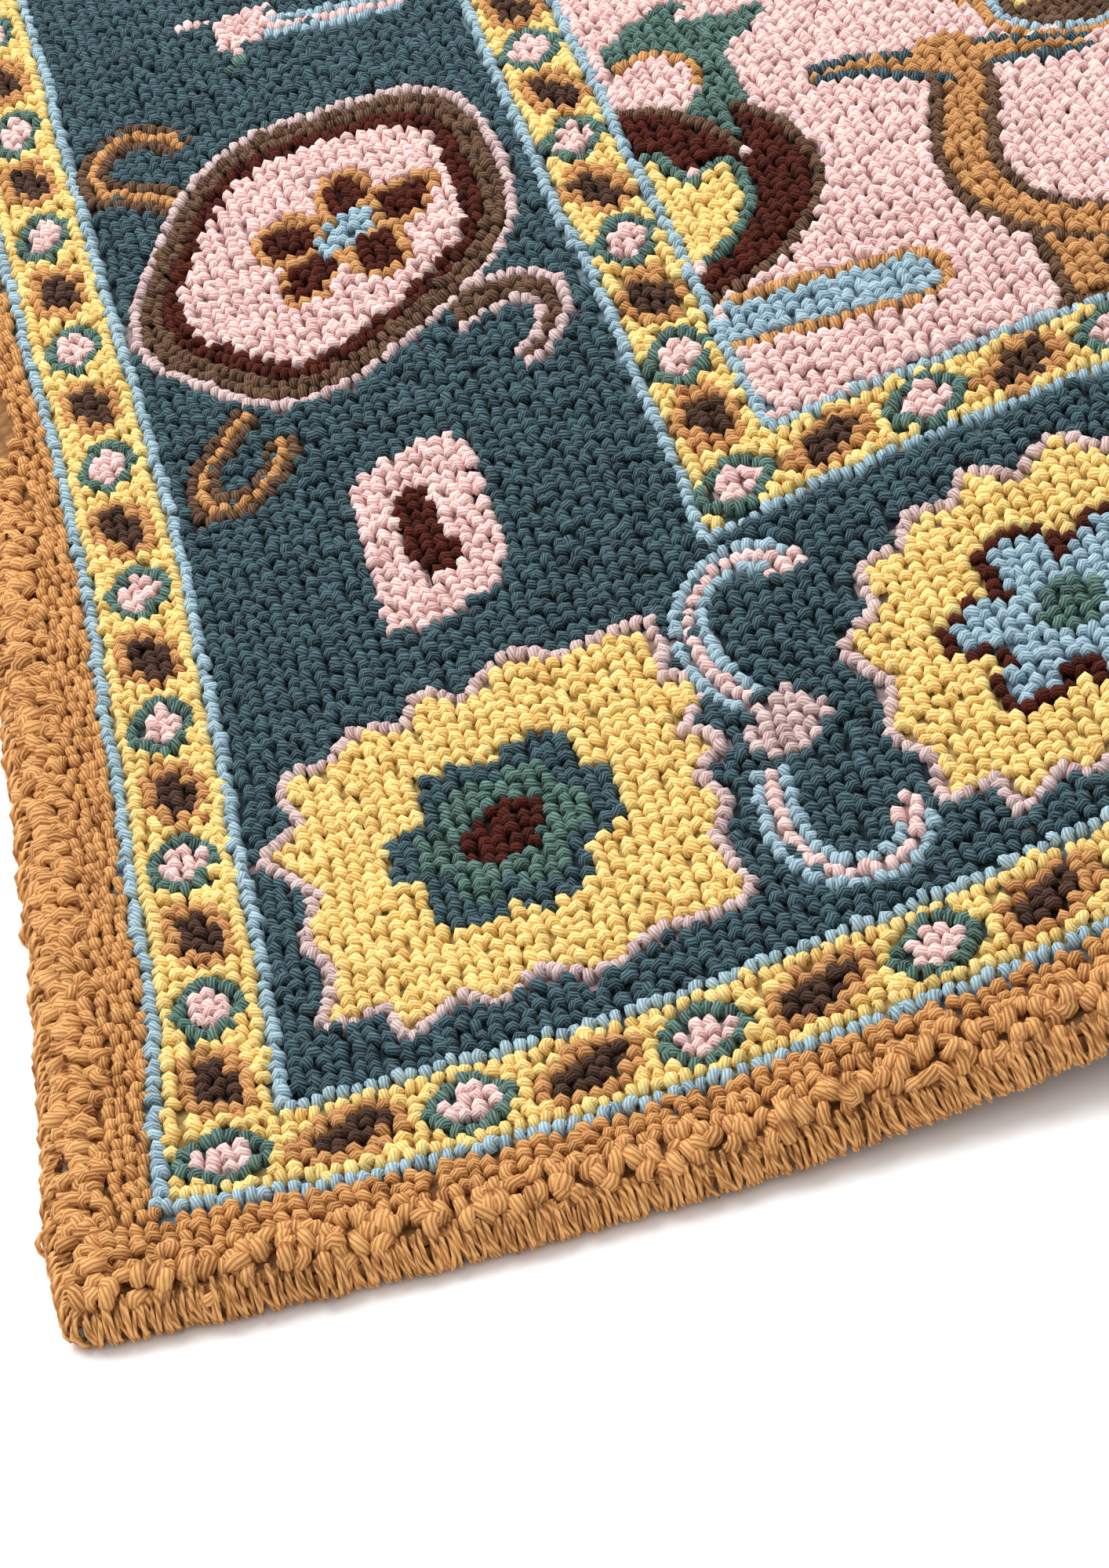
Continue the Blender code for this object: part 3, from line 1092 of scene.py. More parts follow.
@dataclass
class PileGround:
    """The pile as one sheet over the whole rug, sunk between the loops where those are made one by one."""

    columns: int = 236
    rows: int = 380
    rest_sunk: float = 0.0006
    near_sunk: float = LOOP_STAND
    ease: float = 0.010

    def build(self, design: Design, near: Points) -> bpy.types.Object:
        """Makes the sheet.

        Args:
            design: The pattern, for its colours.
            near: The outline of the stretch whose loops are made one by one.

        Returns:
            The sheet's object.
        """
        shape = bmesh.new()
        bmesh.ops.create_grid(shape, x_segments=self.columns, y_segments=self.rows, size=0.5)
        mesh = finished("pile_ground", shape)
        corners = np.empty(len(mesh.vertices) * 3)
        mesh.vertices.foreach_get("co", corners)
        corners = corners.reshape(-1, 3)
        column = np.rint((corners[:, 0] + 0.5) * self.columns).astype(int)
        line = np.rint((corners[:, 1] + 0.5) * self.rows).astype(int)
        plan, height, sunk = self.lay_flat(column, line, near)
        rested = LIE.place(plan[:, 0], plan[:, 1], height)
        mesh.vertices.foreach_set("co", rested.ravel())
        self.paint(mesh, design, plan, sunk)
        mesh.shade_smooth()
        mesh.materials.append(PileWool().material())
        return shown("pile_ground", mesh)

    def lay_flat(
        self, column: np.ndarray, line: np.ndarray, near: Points
    ) -> tuple[Points, np.ndarray, np.ndarray]:
        """Lays the grid's corners on the flat rug.

        Args:
            column: Each corner's number across the rug.
            line: Each corner's number along the rug.
            near: The outline of the stretch whose loops are made one by one.

        Returns:
            Each corner's plan place, its height, and how far it is sunk, from 0 to 1.
        """
        rim = len(RIM) - 1
        insets = np.array([ring.inset for ring in RIM])
        heights = np.array([ring.height for ring in RIM])
        leans = np.array([ring.lean for ring in RIM])

        def flat(index: np.ndarray, cells: int, length: float) -> np.ndarray:
            step = (length - 2 * CORNER_RADIUS) / (cells - 2 * rim)
            return CORNER_RADIUS + (index - rim) * step

        rough = np.stack([flat(column, self.columns, WIDTH), flat(line, self.rows, LENGTH)], axis=1)
        held = inside(near, rough)
        away = distance_to(near, rough, True, self.ease)
        sunk = np.where(held, smooth_step(away / self.ease), 0.0)
        depth = self.rest_sunk + (self.near_sunk - self.rest_sunk) * sunk
        from_side = np.minimum(column, self.columns - column)
        from_end = np.minimum(line, self.rows - line)
        ring = np.minimum(np.minimum(from_side, from_end), rim)
        ring_inset = insets[ring] + depth * np.sin(leans[ring])
        height = heights[ring] - depth * np.cos(leans[ring])

        def inwards(index: np.ndarray, nearer: np.ndarray, cells: int, length: float) -> np.ndarray:
            own = np.minimum(nearer, rim)
            edge = insets[own] + depth * np.sin(leans[own])
            return np.where(nearer < rim, edge, np.minimum(flat(nearer, cells, length), length / 2))

        in_s = inwards(column, from_side, self.columns, WIDTH)
        in_t = inwards(line, from_end, self.rows, LENGTH)
        corner = np.maximum(from_side, from_end) < rim
        closer, further = np.minimum(from_side, from_end), np.maximum(from_side, from_end)
        angle = pi / 4 * (rim - further) / np.maximum(rim - closer, 1)
        radius = CORNER_RADIUS - ring_inset
        short, long = CORNER_RADIUS - radius * np.sin(angle), CORNER_RADIUS - radius * np.cos(angle)
        by_side = from_side >= from_end
        in_s = np.where(corner, np.where(by_side, short, long), in_s)
        in_t = np.where(corner, np.where(by_side, long, short), in_t)
        s = np.where(2 * column <= self.columns, in_s, WIDTH - in_s)
        t = np.where(2 * line <= self.rows, in_t, LENGTH - in_t)
        return np.stack([s, t], axis=1), height, sunk

    def paint(self, mesh: bpy.types.Mesh, design: Design, plan: Points, sunk: np.ndarray) -> None:
        """Colours each cell of the grid as the pattern says, and gives the sheet its maps.

        Args:
            mesh: The sheet.
            design: The pattern.
            plan: Each corner's plan place.
            sunk: How far each corner is sunk, from 0 to 1.
        """
        corner_of = corner_places(mesh)
        cell_corners = corner_of.reshape(-1, 4)
        yarns = design.yarns(plan[cell_corners].mean(axis=1), rows_too=True)
        dyes = np.array([yarn.value.main for yarn in YARNS])
        dye = mesh.attributes.new("dye", "FLOAT_COLOR", "CORNER")
        dye.data.foreach_set("color", np.repeat(dyes[yarns], 4, axis=0).ravel())
        # The sunk value also sets where PileWool paints shade under the near loops.
        mesh.attributes.new("sunk", "FLOAT", "POINT").data.foreach_set("value", sunk)
        for layer in list(mesh.uv_layers):
            mesh.uv_layers.remove(layer)
        for name, scale in (("Plan", (1.0, 1.0)), ("OFBake", (1 / LENGTH, 1 / LENGTH))):
            layer = mesh.uv_layers.new(name=name)
            layer.uv.foreach_set("vector", (plan[corner_of] * scale).ravel())


@dataclass(frozen=True)
class YarnShape:
    """A short length of yarn, swept along a path by extruding its section."""

    half_width: float
    half_thick: float
    sides: int = 6

    def section(self) -> list[tuple[float, float]]:
        """The section's corners, round an oval."""
        angles = [2 * pi * number / self.sides for number in range(self.sides)]
        return [(self.half_width * cos(angle), self.half_thick * sin(angle)) for angle in angles]

    def sweep(self, name: str, path: Sequence[Vector], phase: float) -> bpy.types.Object:
        """Makes the length of yarn.

        Args:
            name: The object's name.
            path: The places that the yarn's middle runs through.
            phase: How far the section is turned at the start.

        Returns:
            The yarn's object, with its Yarn map.
        """
        corners = self.section()
        shape = bmesh.new()
        ring = bmesh.ops.create_circle(shape, segments=len(corners), radius=self.half_width)["verts"]
        station, place_of = {}, {}
        edges = list({edge for corner in ring for edge in corner.link_edges})
        for k, middle in enumerate(path):
            if k:
                made = bmesh.ops.extrude_edge_only(shape, edges=edges)["geom"]
                open_edges = (e for e in made if isinstance(e, bmesh.types.BMEdge) and not e.is_manifold)
                edges = [e for e in open_edges if all(v in made for v in e.verts)]
                ring = self.matched(ring, made)
            ahead = path[min(k + 1, len(path) - 1)] - path[max(k - 1, 0)]
            forward = ahead.normalized()
            side = Vector((0, 1, 0)) if abs(forward.y) < 0.9 else Vector((1, 0, 0))
            up = forward.cross(side).normalized()
            side = up.cross(forward)
            for number, (corner, (across, over)) in enumerate(zip(ring, corners)):
                w = across * cos(phase) - over * sin(phase)
                h = across * sin(phase) + over * cos(phase)
                corner.co = middle + side * w + up * h
                station[corner] = k
                place_of[corner] = number
        bmesh.ops.recalc_face_normals(shape, faces=shape.faces[:])
        yarn_map = shape.loops.layers.uv.new("Yarn")
        for face in shape.faces:
            numbers = [place_of[corner] for corner in face.verts]
            over_seam = max(numbers) - min(numbers) > 1
            for loop in face.loops:
                number = place_of[loop.vert]
                round_it = number + len(corners) if over_seam and number == 0 else number
                loop[yarn_map].uv = (station[loop.vert] / (len(path) - 1), round_it / len(corners))
        mesh = finished(name, shape)
        mesh.shade_smooth()
        return bpy.data.objects.new(name, mesh)

    def matched(self, ring: list[bmesh.types.BMVert], made: list) -> list[bmesh.types.BMVert]:
        """The new ring's corners, in the order of the ring that they were extruded from."""
        new = {part for part in made if isinstance(part, bmesh.types.BMVert)}
        beyond = ([edge.other_vert(corner) for edge in corner.link_edges] for corner in ring)
        return [next(corner for corner in reached if corner in new) for reached in beyond]


@dataclass
class Tufts:
    """Many loops of one kind: where each is, how it is turned, its size, its shape's number and its tone."""

    places: Points
    turns: Points
    sizes: Points
    kinds: np.ndarray
    tones: np.ndarray

    def part(self, chosen: np.ndarray) -> Tufts:
        """Only the chosen loops."""
        columns = (self.places, self.turns, self.sizes, self.kinds, self.tones)
        return Tufts(*(column[chosen] for column in columns))


class Setter:
    """Sets yarn shapes at many places by Geometry Nodes and makes them one mesh."""

    def __init__(self, shapes: Sequence[bpy.types.Object]) -> None:
        """Keeps the shapes in a collection that the scene doesn't show."""
        self.stock = bpy.data.collections.new("yarn_stock")
        for shape in shapes:
            self.stock.objects.link(shape)
        self.tree = self.lay_nodes()

    def lay_nodes(self) -> bpy.types.NodeTree:
        """The nodes that set a shape at each point and make the copies real."""
        tree = bpy.data.node_groups.new("set_yarn", "GeometryNodeTree")
        for way in ("INPUT", "OUTPUT"):
            tree.interface.new_socket(name="Geometry", in_out=way, socket_type="NodeSocketGeometry")
        sheet = NodeSheet(tree)
        points = sheet.term("NodeGroupInput", 0)
        stock = sheet.term(
            "GeometryNodeCollectionInfo",
            0,
            {"transform_space": "ORIGINAL"},
            {"Collection": self.stock, "Separate Children": True, "Reset Children": True},
        )
        turn, size, kind = (
            sheet.term("GeometryNodeInputNamedAttribute", 0, {"data_type": data}, {"Name": name})
            for name, data in (("turn", "FLOAT_VECTOR"), ("size", "FLOAT_VECTOR"), ("kind", "INT"))
        )
        settings = {
            "Points": points,
            "Instance": stock,
            "Pick Instance": True,
            "Instance Index": kind,
            "Rotation": sheet.term("FunctionNodeEulerToRotation", 0, None, {0: turn}),
            "Scale": size,
        }
        copies = sheet.term("GeometryNodeInstanceOnPoints", 0, None, settings)
        real = sheet.term("GeometryNodeRealizeInstances", 0, None, {0: copies})
        sheet.node("NodeGroupOutput", None, {0: real})
        return tree

    def build(self, name: str, tufts: Tufts, material: bpy.types.Material) -> bpy.types.Object:
        """Makes one piece.

        Args:
            name: The piece's name.
            tufts: Where its shapes go.
            material: Its finish.

        Returns:
            The piece's object.
        """
        mesh = bpy.data.meshes.new(f"{name}_points")
        mesh.vertices.add(len(tufts.places))
        mesh.vertices.foreach_set("co", tufts.places.ravel())
        for label, kind, values in (
            ("turn", "FLOAT_VECTOR", tufts.turns),
            ("size", "FLOAT_VECTOR", tufts.sizes),
            ("kind", "INT", tufts.kinds),
            ("tone", "FLOAT", tufts.tones),
            ("number", "INT", np.arange(len(tufts.places))),
        ):
            key = "vector" if kind == "FLOAT_VECTOR" else "value"
            mesh.attributes.new(label, kind, "POINT").data.foreach_set(key, values.ravel())
        points = shown(f"{name}_points", mesh)
        points.modifiers.new("yarn", "NODES").node_group = self.tree
        graph = bpy.context.evaluated_depsgraph_get()
        made = bpy.data.meshes.new_from_object(points.evaluated_get(graph))
        bpy.data.objects.remove(points)
        bpy.data.meshes.remove(mesh)
        self.lay_out(made, len(tufts.places))
        made.name = name
        made.materials.clear()
        made.materials.append(material)
        return shown(name, made)

    def lay_out(self, mesh: bpy.types.Mesh, count: int) -> None:
        """Gives each copy its own cell of the piece's second map, and drops what only placed it."""
        corner_of = corner_places(mesh)
        number = np.empty(len(mesh.vertices), dtype=int)
        mesh.attributes["number"].data.foreach_get("value", number)
        own = np.empty(len(mesh.loops) * 2)
        mesh.uv_layers["Yarn"].uv.foreach_get("vector", own)
        across = int(np.ceil(np.sqrt(count)))
        cell = np.stack([number[corner_of] % across, number[corner_of] // across], axis=1)
        margin, past_seam = 0.08, 7 / 6
        inner = margin + (1 - 2 * margin) * np.clip(own.reshape(-1, 2), 0, past_seam) / (1.0, past_seam)
        mesh.uv_layers.new(name="OFBake").uv.foreach_set("vector", ((cell + inner) / across).ravel())
        for name in ("turn", "size", "kind", "number"):
            if name in mesh.attributes:
                mesh.attributes.remove(mesh.attributes[name])

    def clear(self) -> None:
        """Removes the stock of shapes once nothing more is made from it."""
        for shape in list(self.stock.objects):
            bpy.data.objects.remove(shape)
        bpy.data.collections.remove(self.stock)
        bpy.data.node_groups.remove(self.tree)


def turned_frames(
    along: Points, up: Points, heading: np.ndarray, nod: np.ndarray, roll: np.ndarray
) -> Points:
    """Euler turns of pieces that stand on the pile.

    Args:
        along: The direction that heading 0 takes at each place.
        up: The way out of the pile.
        heading: How far each piece is turned about that way.
        nod: How far each leans ahead.
        roll: How far each leans to its side.

    Returns:
        One row of XYZ Euler angles for each place.
    """

    def spun(first: Points, second: Points, turn: np.ndarray) -> tuple[Points, Points]:
        """Two directions square to each other, both turned from the first towards the second."""
        c, s = np.cos(turn)[:, None], np.sin(turn)[:, None]
        return first * c + second * s, second * c - first * s

    x, y = spun(along, np.cross(up, along), heading)
    z, x = spun(up, x, nod)
    y, z = spun(y, z, roll)
    pitch = np.arcsin(np.clip(-x[:, 2], -1, 1))
    return np.stack([np.arctan2(y[:, 2], z[:, 2]), pitch, np.arctan2(x[:, 1], x[:, 0])], axis=1)


# The stretch of the rug whose loops are made one by one, in plan, a little past what the camera sees.
NEAR_ZONE = np.array(
    [
        (-0.010, -0.010),
        (-0.010, 0.300),
        (0.008, 0.455),
        (0.042, 0.632),
        (0.056, 0.630),
        (0.411, 0.404),
        (0.330, 0.166),
        (0.274, -0.010),
    ]
)


@dataclass
class LoopPile:
    """The pile's loops, one by one, over the near stretch of the rug."""

    seed: int = 7
    loop_span: float = 0.0022
    loop_rise: float = 0.0027
    half_width: float = 0.00162
    rings: int = 5
    slant: float = radians(62)
    band_slant: float = radians(80)
    piece_limit: int = 4000
    kinds: int = 8
    room: float = 0.0036
    row_room: float = 0.54 * ROW_PITCH
    overlap: float = 0.55 * LOOP_PITCH
    rim_inset: float = 0.0146
    stray: float = 0.00036
    height_spread: float = 0.00040
    heading_spread: float = radians(16)
    tilt_spread: float = 0.15
    size_spread: float = 0.08
    tone_spread: float = 0.16

    def shapes(self) -> list[bpy.types.Object]:
        """A few loops that differ in twist and lean: arches whose tops are at their origin."""
        made = []
        for number in range(self.kinds):
            draw = np.random.default_rng(100 + number)
            lean, tall = draw.uniform(-0.0006, 0.0006), draw.uniform(0.9, 1.12)
            yarn = YarnShape(self.half_width, self.half_width * draw.uniform(0.78, 0.92))
            path = []
            for angle in np.radians(np.linspace(-100, 100, self.rings)):
                side = lean * sin(2 * angle)
                drop = self.loop_rise * tall * (1 - cos(angle))
                path.append(Vector((self.loop_span / 2 * sin(angle), side, -self.half_width * 0.75 - drop)))
            made.append(yarn.sweep(f"loop_{number}", path, radians(draw.uniform(-12, 12))))
        return made

    def row_places(self, design: Design) -> tuple[Points, np.ndarray, np.ndarray]:
        """The loops along the pattern's single rows: their plan places, headings and yarns."""
        places, headings, yarns = [], [], []
        for number, mark in enumerate(design.marks):
            if mark.filled or not np.any(inside(NEAR_ZONE, mark.path)) and len(mark.path) > 4:
                continue
            ends = np.vstack([mark.path, mark.path[:1]]) if mark.closed else mark.path
            spans = np.linalg.norm(np.diff(ends, axis=0), axis=1)
            run = np.concatenate([[0], np.cumsum(spans)])
            count = max(int(round(run[-1] / LOOP_PITCH)), 2)
            stops = (np.arange(count) + 0.5) * run[-1] / count
            step = 0.002
            back, spots, ahead = (
                np.stack([np.interp(stops + shift, run, ends[:, k]) for k in (0, 1)], axis=1)
                for shift in (-step, 0.0, step)
            )
            way = np.arctan2(*(ahead - back)[:, ::-1].T)
            kept = inside(NEAR_ZONE, spots)
            for over in design.marks[number + 1 :]:
                if over.filled:
                    kept &= ~inside(over.path, spots)
            places.append(spots[kept])
            headings.append(way[kept] + self.slant)
            yarns.append(np.full(kept.sum(), YARNS.index(mark.yarn)))
        return np.vstack(places), np.concatenate(headings), np.concatenate(yarns)

    def fill_places(self, draw: np.random.Generator) -> tuple[Points, np.ndarray]:
        """The loops that fill the areas: rows along t, but along s in the left edge's camel band."""
        low, high = NEAR_ZONE.min(axis=0), NEAR_ZONE.max(axis=0)
        spots, ways = [], []
        for across_first, heading in ((True, pi / 2), (False, 0.0)):
            pitch = (ROW_PITCH, LOOP_PITCH) if across_first else (LOOP_PITCH, ROW_PITCH)
            s = np.arange(low[0], high[0], pitch[0])
            t = np.arange(low[1], high[1], pitch[1])
            grid_s, grid_t = np.meshgrid(s, t, indexing="ij")
            if across_first:
                grid_t = grid_t + (draw.uniform(0, 1, len(s)) * pitch[1])[:, None]
            else:
                grid_s = grid_s + (draw.uniform(0, 1, len(t)) * pitch[0])[None, :]
            grid = np.stack([grid_s.ravel(), grid_t.ravel()], axis=1)
            in_left_band = (grid[:, 0] < OUTER_STRIPE) & (grid[:, 1] > OUTER_STRIPE)
            grid = grid[in_left_band != across_first]
            grid = grid + draw.normal(0, self.stray, grid.shape)
            spots.append(grid)
            plain = (strayed(grid).min(axis=1) < OUTER_STRIPE - 0.002) | (grid.min(axis=1) < OUTER_STRIPE)
            ways.append(heading + np.where(plain, self.band_slant, self.slant))
        places, headings = np.vstack(spots), np.concatenate(ways)
        past_rim = np.minimum(places[:, 0] + side_bulge(places[:, 1]), places[:, 1]) > self.rim_inset
        kept = inside(NEAR_ZONE, places) & past_rim
        return places[kept], headings[kept]

    def settle(self, design: Design) -> tuple[Points, np.ndarray, np.ndarray]:
        """Every loop's plan place, heading and yarn: the rows first, and the fill where they leave room."""
        draw = np.random.default_rng(self.seed)
        row_spots, row_ways, row_yarns = self.row_places(design)
        fill_spots, fill_ways = self.fill_places(draw)
        tree = near_tree(row_spots)
        room = np.array([tree.find((*spot, 0.0))[2] > self.row_room for spot in fill_spots])
        uncovered = []
        for number, spot in enumerate(row_spots):
            beside_it = tree.find_range((*spot, 0.0), self.overlap)
            uncovered.append(not any(other > number for _, other, _ in beside_it))
        row_spots, row_ways, row_yarns = row_spots[uncovered], row_ways[uncovered], row_yarns[uncovered]
        fill_spots, fill_ways = fill_spots[room], fill_ways[room]
        fill_spots = self.ease_apart(fill_spots, row_spots)
        fill_yarns = design.yarns(fill_spots, rows_too=False)
        return (
            np.vstack([row_spots, fill_spots]),
            np.concatenate([row_ways, fill_ways]),
            np.concatenate([row_yarns, fill_yarns]),
        )

    def ease_apart(self, movable: Points, fixed: Points) -> Points:
        """Moves loops that crowd each other a little apart, into the room beside the single rows."""
        spots = movable.copy()
        for _ in range(3):
            tree = near_tree(np.vstack([spots, fixed]))
            for number, spot in enumerate(spots):
                for near, other, away in tree.find_n((*spot, 0.0), 6):
                    if other != number and 0 < away < self.room:
                        push = 0.35 * (self.room - away) / away
                        spots[number] += push * (spot - (near.x, near.y))
        return spots

    def stand(self, spots: Points, ways: np.ndarray) -> Tufts:
        """Stands the loops on the pile, each a little different from the next."""
        draw = np.random.default_rng(self.seed + 1)
        count = len(spots)
        s, t = spots[:, 0], spots[:, 1]
        along, _, up = LIE.axes(s, t)
        height = PILE_TOP + draw.normal(0, self.height_spread, count)
        height = height - 0.0003 * np.clip((CORNER_RADIUS - spots.min(axis=1)) / CORNER_RADIUS, 0, 1)
        heading = ways + draw.normal(0, self.heading_spread, count)
        nod, roll = (draw.normal(0, self.tilt_spread, count) for _ in range(2))
        turns = turned_frames(along, up, heading, nod, roll)
        size = draw.normal(1.0, self.size_spread, (count, 3))
        wave = np.sin(s * 310 + 2 * np.sin(t * 90)) * np.sin(t * 260 + s * 70)
        tones = np.clip(0.62 + 0.10 * wave + draw.normal(0, self.tone_spread, count), 0, 1)
        places = LIE.place(s, t, height)
        return Tufts(places, turns, size, draw.integers(0, self.kinds, count), tones)

    def build(self, design: Design) -> list[bpy.types.Object]:
        """Makes the loops, in pieces of one yarn each."""
        spots, ways, yarns = self.settle(design)
        tufts = self.stand(spots, ways)
        setter = Setter(self.shapes())
        pieces = []
        for number, yarn in enumerate(YARNS):
            chosen = np.flatnonzero(yarns == number)
            if len(chosen) == 0:
                continue
            material = LoopWool(yarn).material()
            chosen = chosen[np.argsort(spots[chosen, 1], kind="stable")]
            parts = int(np.ceil(len(chosen) / self.piece_limit))
            for part, run in enumerate(np.array_split(chosen, parts), start=1):
                name = f"{yarn.name.lower()}_loops_{part}"
                pieces.append(setter.build(name, tufts.part(run), material))
        setter.clear()
        return pieces


def side_bulge(run: np.ndarray) -> np.ndarray:
    """How far the left edge's loops spill past the rug's outline, at distances up it from the near corner."""
    spill, growth, end, fade = 0.0036, 0.04, 0.36, 0.08
    return spill * smooth_step(run / growth) * smooth_step((end - run) / fade)


@dataclass(frozen=True)
class Outline:
    """The rug's outline by distance either way from the middle of one round corner."""

    near_s: bool = True
    near_t: bool = True
    radius: float = 0.0065

    def at(self, run: np.ndarray, inset: np.ndarray) -> tuple[Points, Points]:
        """Places along the outline.

        Args:
            run: Distances from the corner's middle: negative up the side, positive along the end.
            inset: How far in each place is.

        Returns:
            The plan places, and for each the way out of the rug.
        """
        if self.near_s and self.near_t:
            inset = inset - side_bulge(-run)
        radius = np.maximum(self.radius - inset, 0.001)
        half_arc = radius * pi / 4
        turn = np.clip(run, -half_arc, half_arc) / radius + radians(225)
        out = np.stack([np.cos(turn), np.sin(turn)], axis=1)
        places = (inset + radius)[:, None] + radius[:, None] * out
        places[:, 1] += np.maximum(-run - half_arc, 0)
        places[:, 0] += np.maximum(run - half_arc, 0)
        if not self.near_s:
            places[:, 0] = WIDTH - places[:, 0]
            out = out * (-1, 1)
        if not self.near_t:
            places[:, 1] = LENGTH - places[:, 1]
            out = out * (1, -1)
        return places, out


@dataclass(frozen=True)
class RimRow:
    """One row of the rim's loops: its place and lean, its loops' size and pitch, and what share is there."""

    inset: float
    height: float
    lean: float
    size: float
    pitch: float
    side_share: float = 1.0
    first_share: float = 1.0
    last_share: float = 1.0


@dataclass
class Rim:
    """The rug's rim: larger loops that splay over its shoulder, and camel strands whipped over its side."""

    seed: int = 21
    side_reach: float = 0.365
    end_reach: float = 0.285
    strand_pitch: float = 0.00095
    far_pitch: float = 0.0042
    strand_half: float = 0.00078
    kinds: int = 8
    run_stray: float = 0.0007
    inset_stray: float = 0.0008
    height_stray: float = 0.0006
    lean_stray: float = radians(12)
    rows: tuple[RimRow, ...] = (
        RimRow(0.0124, 0.0143, radians(4), 1.02, 0.0038),
        RimRow(0.0086, 0.0147, radians(16), 1.18, 0.0041),
        RimRow(0.0046, 0.0140, radians(38), 1.28, 0.0043),
        RimRow(0.0012, 0.0118, radians(62), 1.25, 0.0045, 0.90, 0.72, 0.95),
        RimRow(0.0002, 0.0085, radians(85), 1.20, 0.0060, 0.0, 0.10, 0.60),
    )
    strand_path: tuple[tuple[float, float], ...] = (
        (-0.0040, 0.0098),
        (-0.0008, 0.0094),
        (0.0011, 0.0077),
        (0.0018, 0.0054),
        (0.0017, 0.0030),
        (0.0006, 0.0011),
        (-0.0012, 0.0008),
    )

    def strands(self, rings: int, half: float, seed: int, sides: int = 5) -> list[bpy.types.Object]:
        """Strands that differ in bulge and slant, from the shoulder down to the floor."""
        made = []
        smooth = curve_through(self.strand_path, 4)
        steps = np.linspace(0, 1, len(smooth))
        share = np.linspace(0, 1, rings)
        for number in range(self.kinds):
            draw = np.random.default_rng(seed + number)
            slant, bulge = draw.uniform(-0.0016, 0.0016), draw.uniform(-0.0006, 0.0007)
            out = np.interp(share, steps, smooth[:, 0]) + bulge * np.sin(pi * share)
            rise = np.maximum(np.interp(share, steps, smooth[:, 1]), half)
            sway = slant * (share - 0.5) + draw.uniform(-0.0006, 0.0006) * np.sin(2 * pi * share)
            path = [Vector(place) for place in zip(sway, out, rise)]
            made.append(YarnShape(half, half * 0.85, sides).sweep(f"strand_{seed}_{number}", path, 0.0))
        return made

    def loops(self) -> list[bpy.types.Object]:
        """Loops for the shoulder, a little longer than the pile's."""
        made = []
        for number in range(self.kinds):
            draw = np.random.default_rng(300 + number)
            reach, skew = draw.uniform(0.0012, 0.0019), draw.uniform(-0.0012, 0.0012)
            yarn = YarnShape(0.00165, 0.00140)
            path = []
            for angle in np.radians(np.linspace(-105, 105, 6)):
                drop = 0.0030 * (1 - cos(angle))
                path.append(Vector((reach * sin(angle), skew * sin(angle) ** 2, -0.0013 - drop)))
            made.append(yarn.sweep(f"rim_loop_{number}", path, 0.0))
        return made

    def stand(
        self, places: Points, out: Points, height: np.ndarray, lean: np.ndarray, extra: Points
    ) -> Tufts:
        """Stands yarn along the rim.

        Args:
            places: Plan places.
            out: The way out of the rug at each.
            height: How high each is.
            lean: How far each leans out.
            extra: Each one's own turn, nod and roll.

        Returns:
            The yarn, of even size.
        """
        draw = np.random.default_rng(self.seed + len(places))
        along, away, up = LIE.axes(places[:, 0], places[:, 1])
        outwards = along * out[:, :1] + away * out[:, 1:]
        c, s = np.cos(lean)[:, None], np.sin(lean)[:, None]
        edgewise = np.cross(outwards, up)
        turns = turned_frames(edgewise, up * c + outwards * s, extra[:, 0], extra[:, 1], extra[:, 2])
        count = len(places)
        tones = np.clip(draw.normal(0.6, 0.18, count), 0, 1)
        kinds = draw.integers(0, self.kinds, count)
        sizes = draw.normal(1.0, 0.08, (count, 3))
        return Tufts(LIE.place(places[:, 0], places[:, 1], height), turns, sizes, kinds, tones)

    def near_loops(self, setter: Setter, wool: bpy.types.Material) -> bpy.types.Object:
        """The rows of loops over the near shoulder."""
        draw = np.random.default_rng(self.seed)
        runs, insets, heights, leans, sizes = [], [], [], [], []
        for rim_row in self.rows:
            run = np.arange(-self.side_reach, self.end_reach, rim_row.pitch)
            share = np.interp(run, (0.0, 0.22), (rim_row.first_share, rim_row.last_share))
            share[run < -0.02] = rim_row.side_share
            run = run[draw.uniform(0, 1, len(run)) < share]
            count = len(run)
            runs.append(run + draw.normal(0, self.run_stray, count))
            insets.append(rim_row.inset + draw.normal(0, self.inset_stray, count))
            heights.append(rim_row.height + draw.normal(0, self.height_stray, count))
            leans.append(rim_row.lean + draw.normal(0, self.lean_stray, count))
            sizes.append(np.full(count, rim_row.size))
        run, inset = np.concatenate(runs), np.concatenate(insets)
        places, out = Outline().at(run, inset)
        extra = draw.normal(0, (radians(30), 0.25, 0.25), (len(run), 3)) + (pi / 2 - radians(20), 0, 0)
        tufts = self.stand(places, out, np.concatenate(heights), np.concatenate(leans), extra)
        tufts.sizes *= np.concatenate(sizes)[:, None]
        return setter.build("rim_loops", tufts, wool)

    def strand_tufts(self, outline: Outline, run: np.ndarray) -> Tufts:
        """Strands side by side along a stretch of one corner's outline."""
        draw = np.random.default_rng(self.seed + 5 + len(run))
        count = len(run)
        places, out = outline.at(run + draw.normal(0, 0.0002, count), draw.normal(0, 0.0003, count))
        extra = draw.normal(0, (0.09, 0.04, 0.09), (count, 3))
        return self.stand(places, out, np.zeros(count), np.zeros(count), extra)

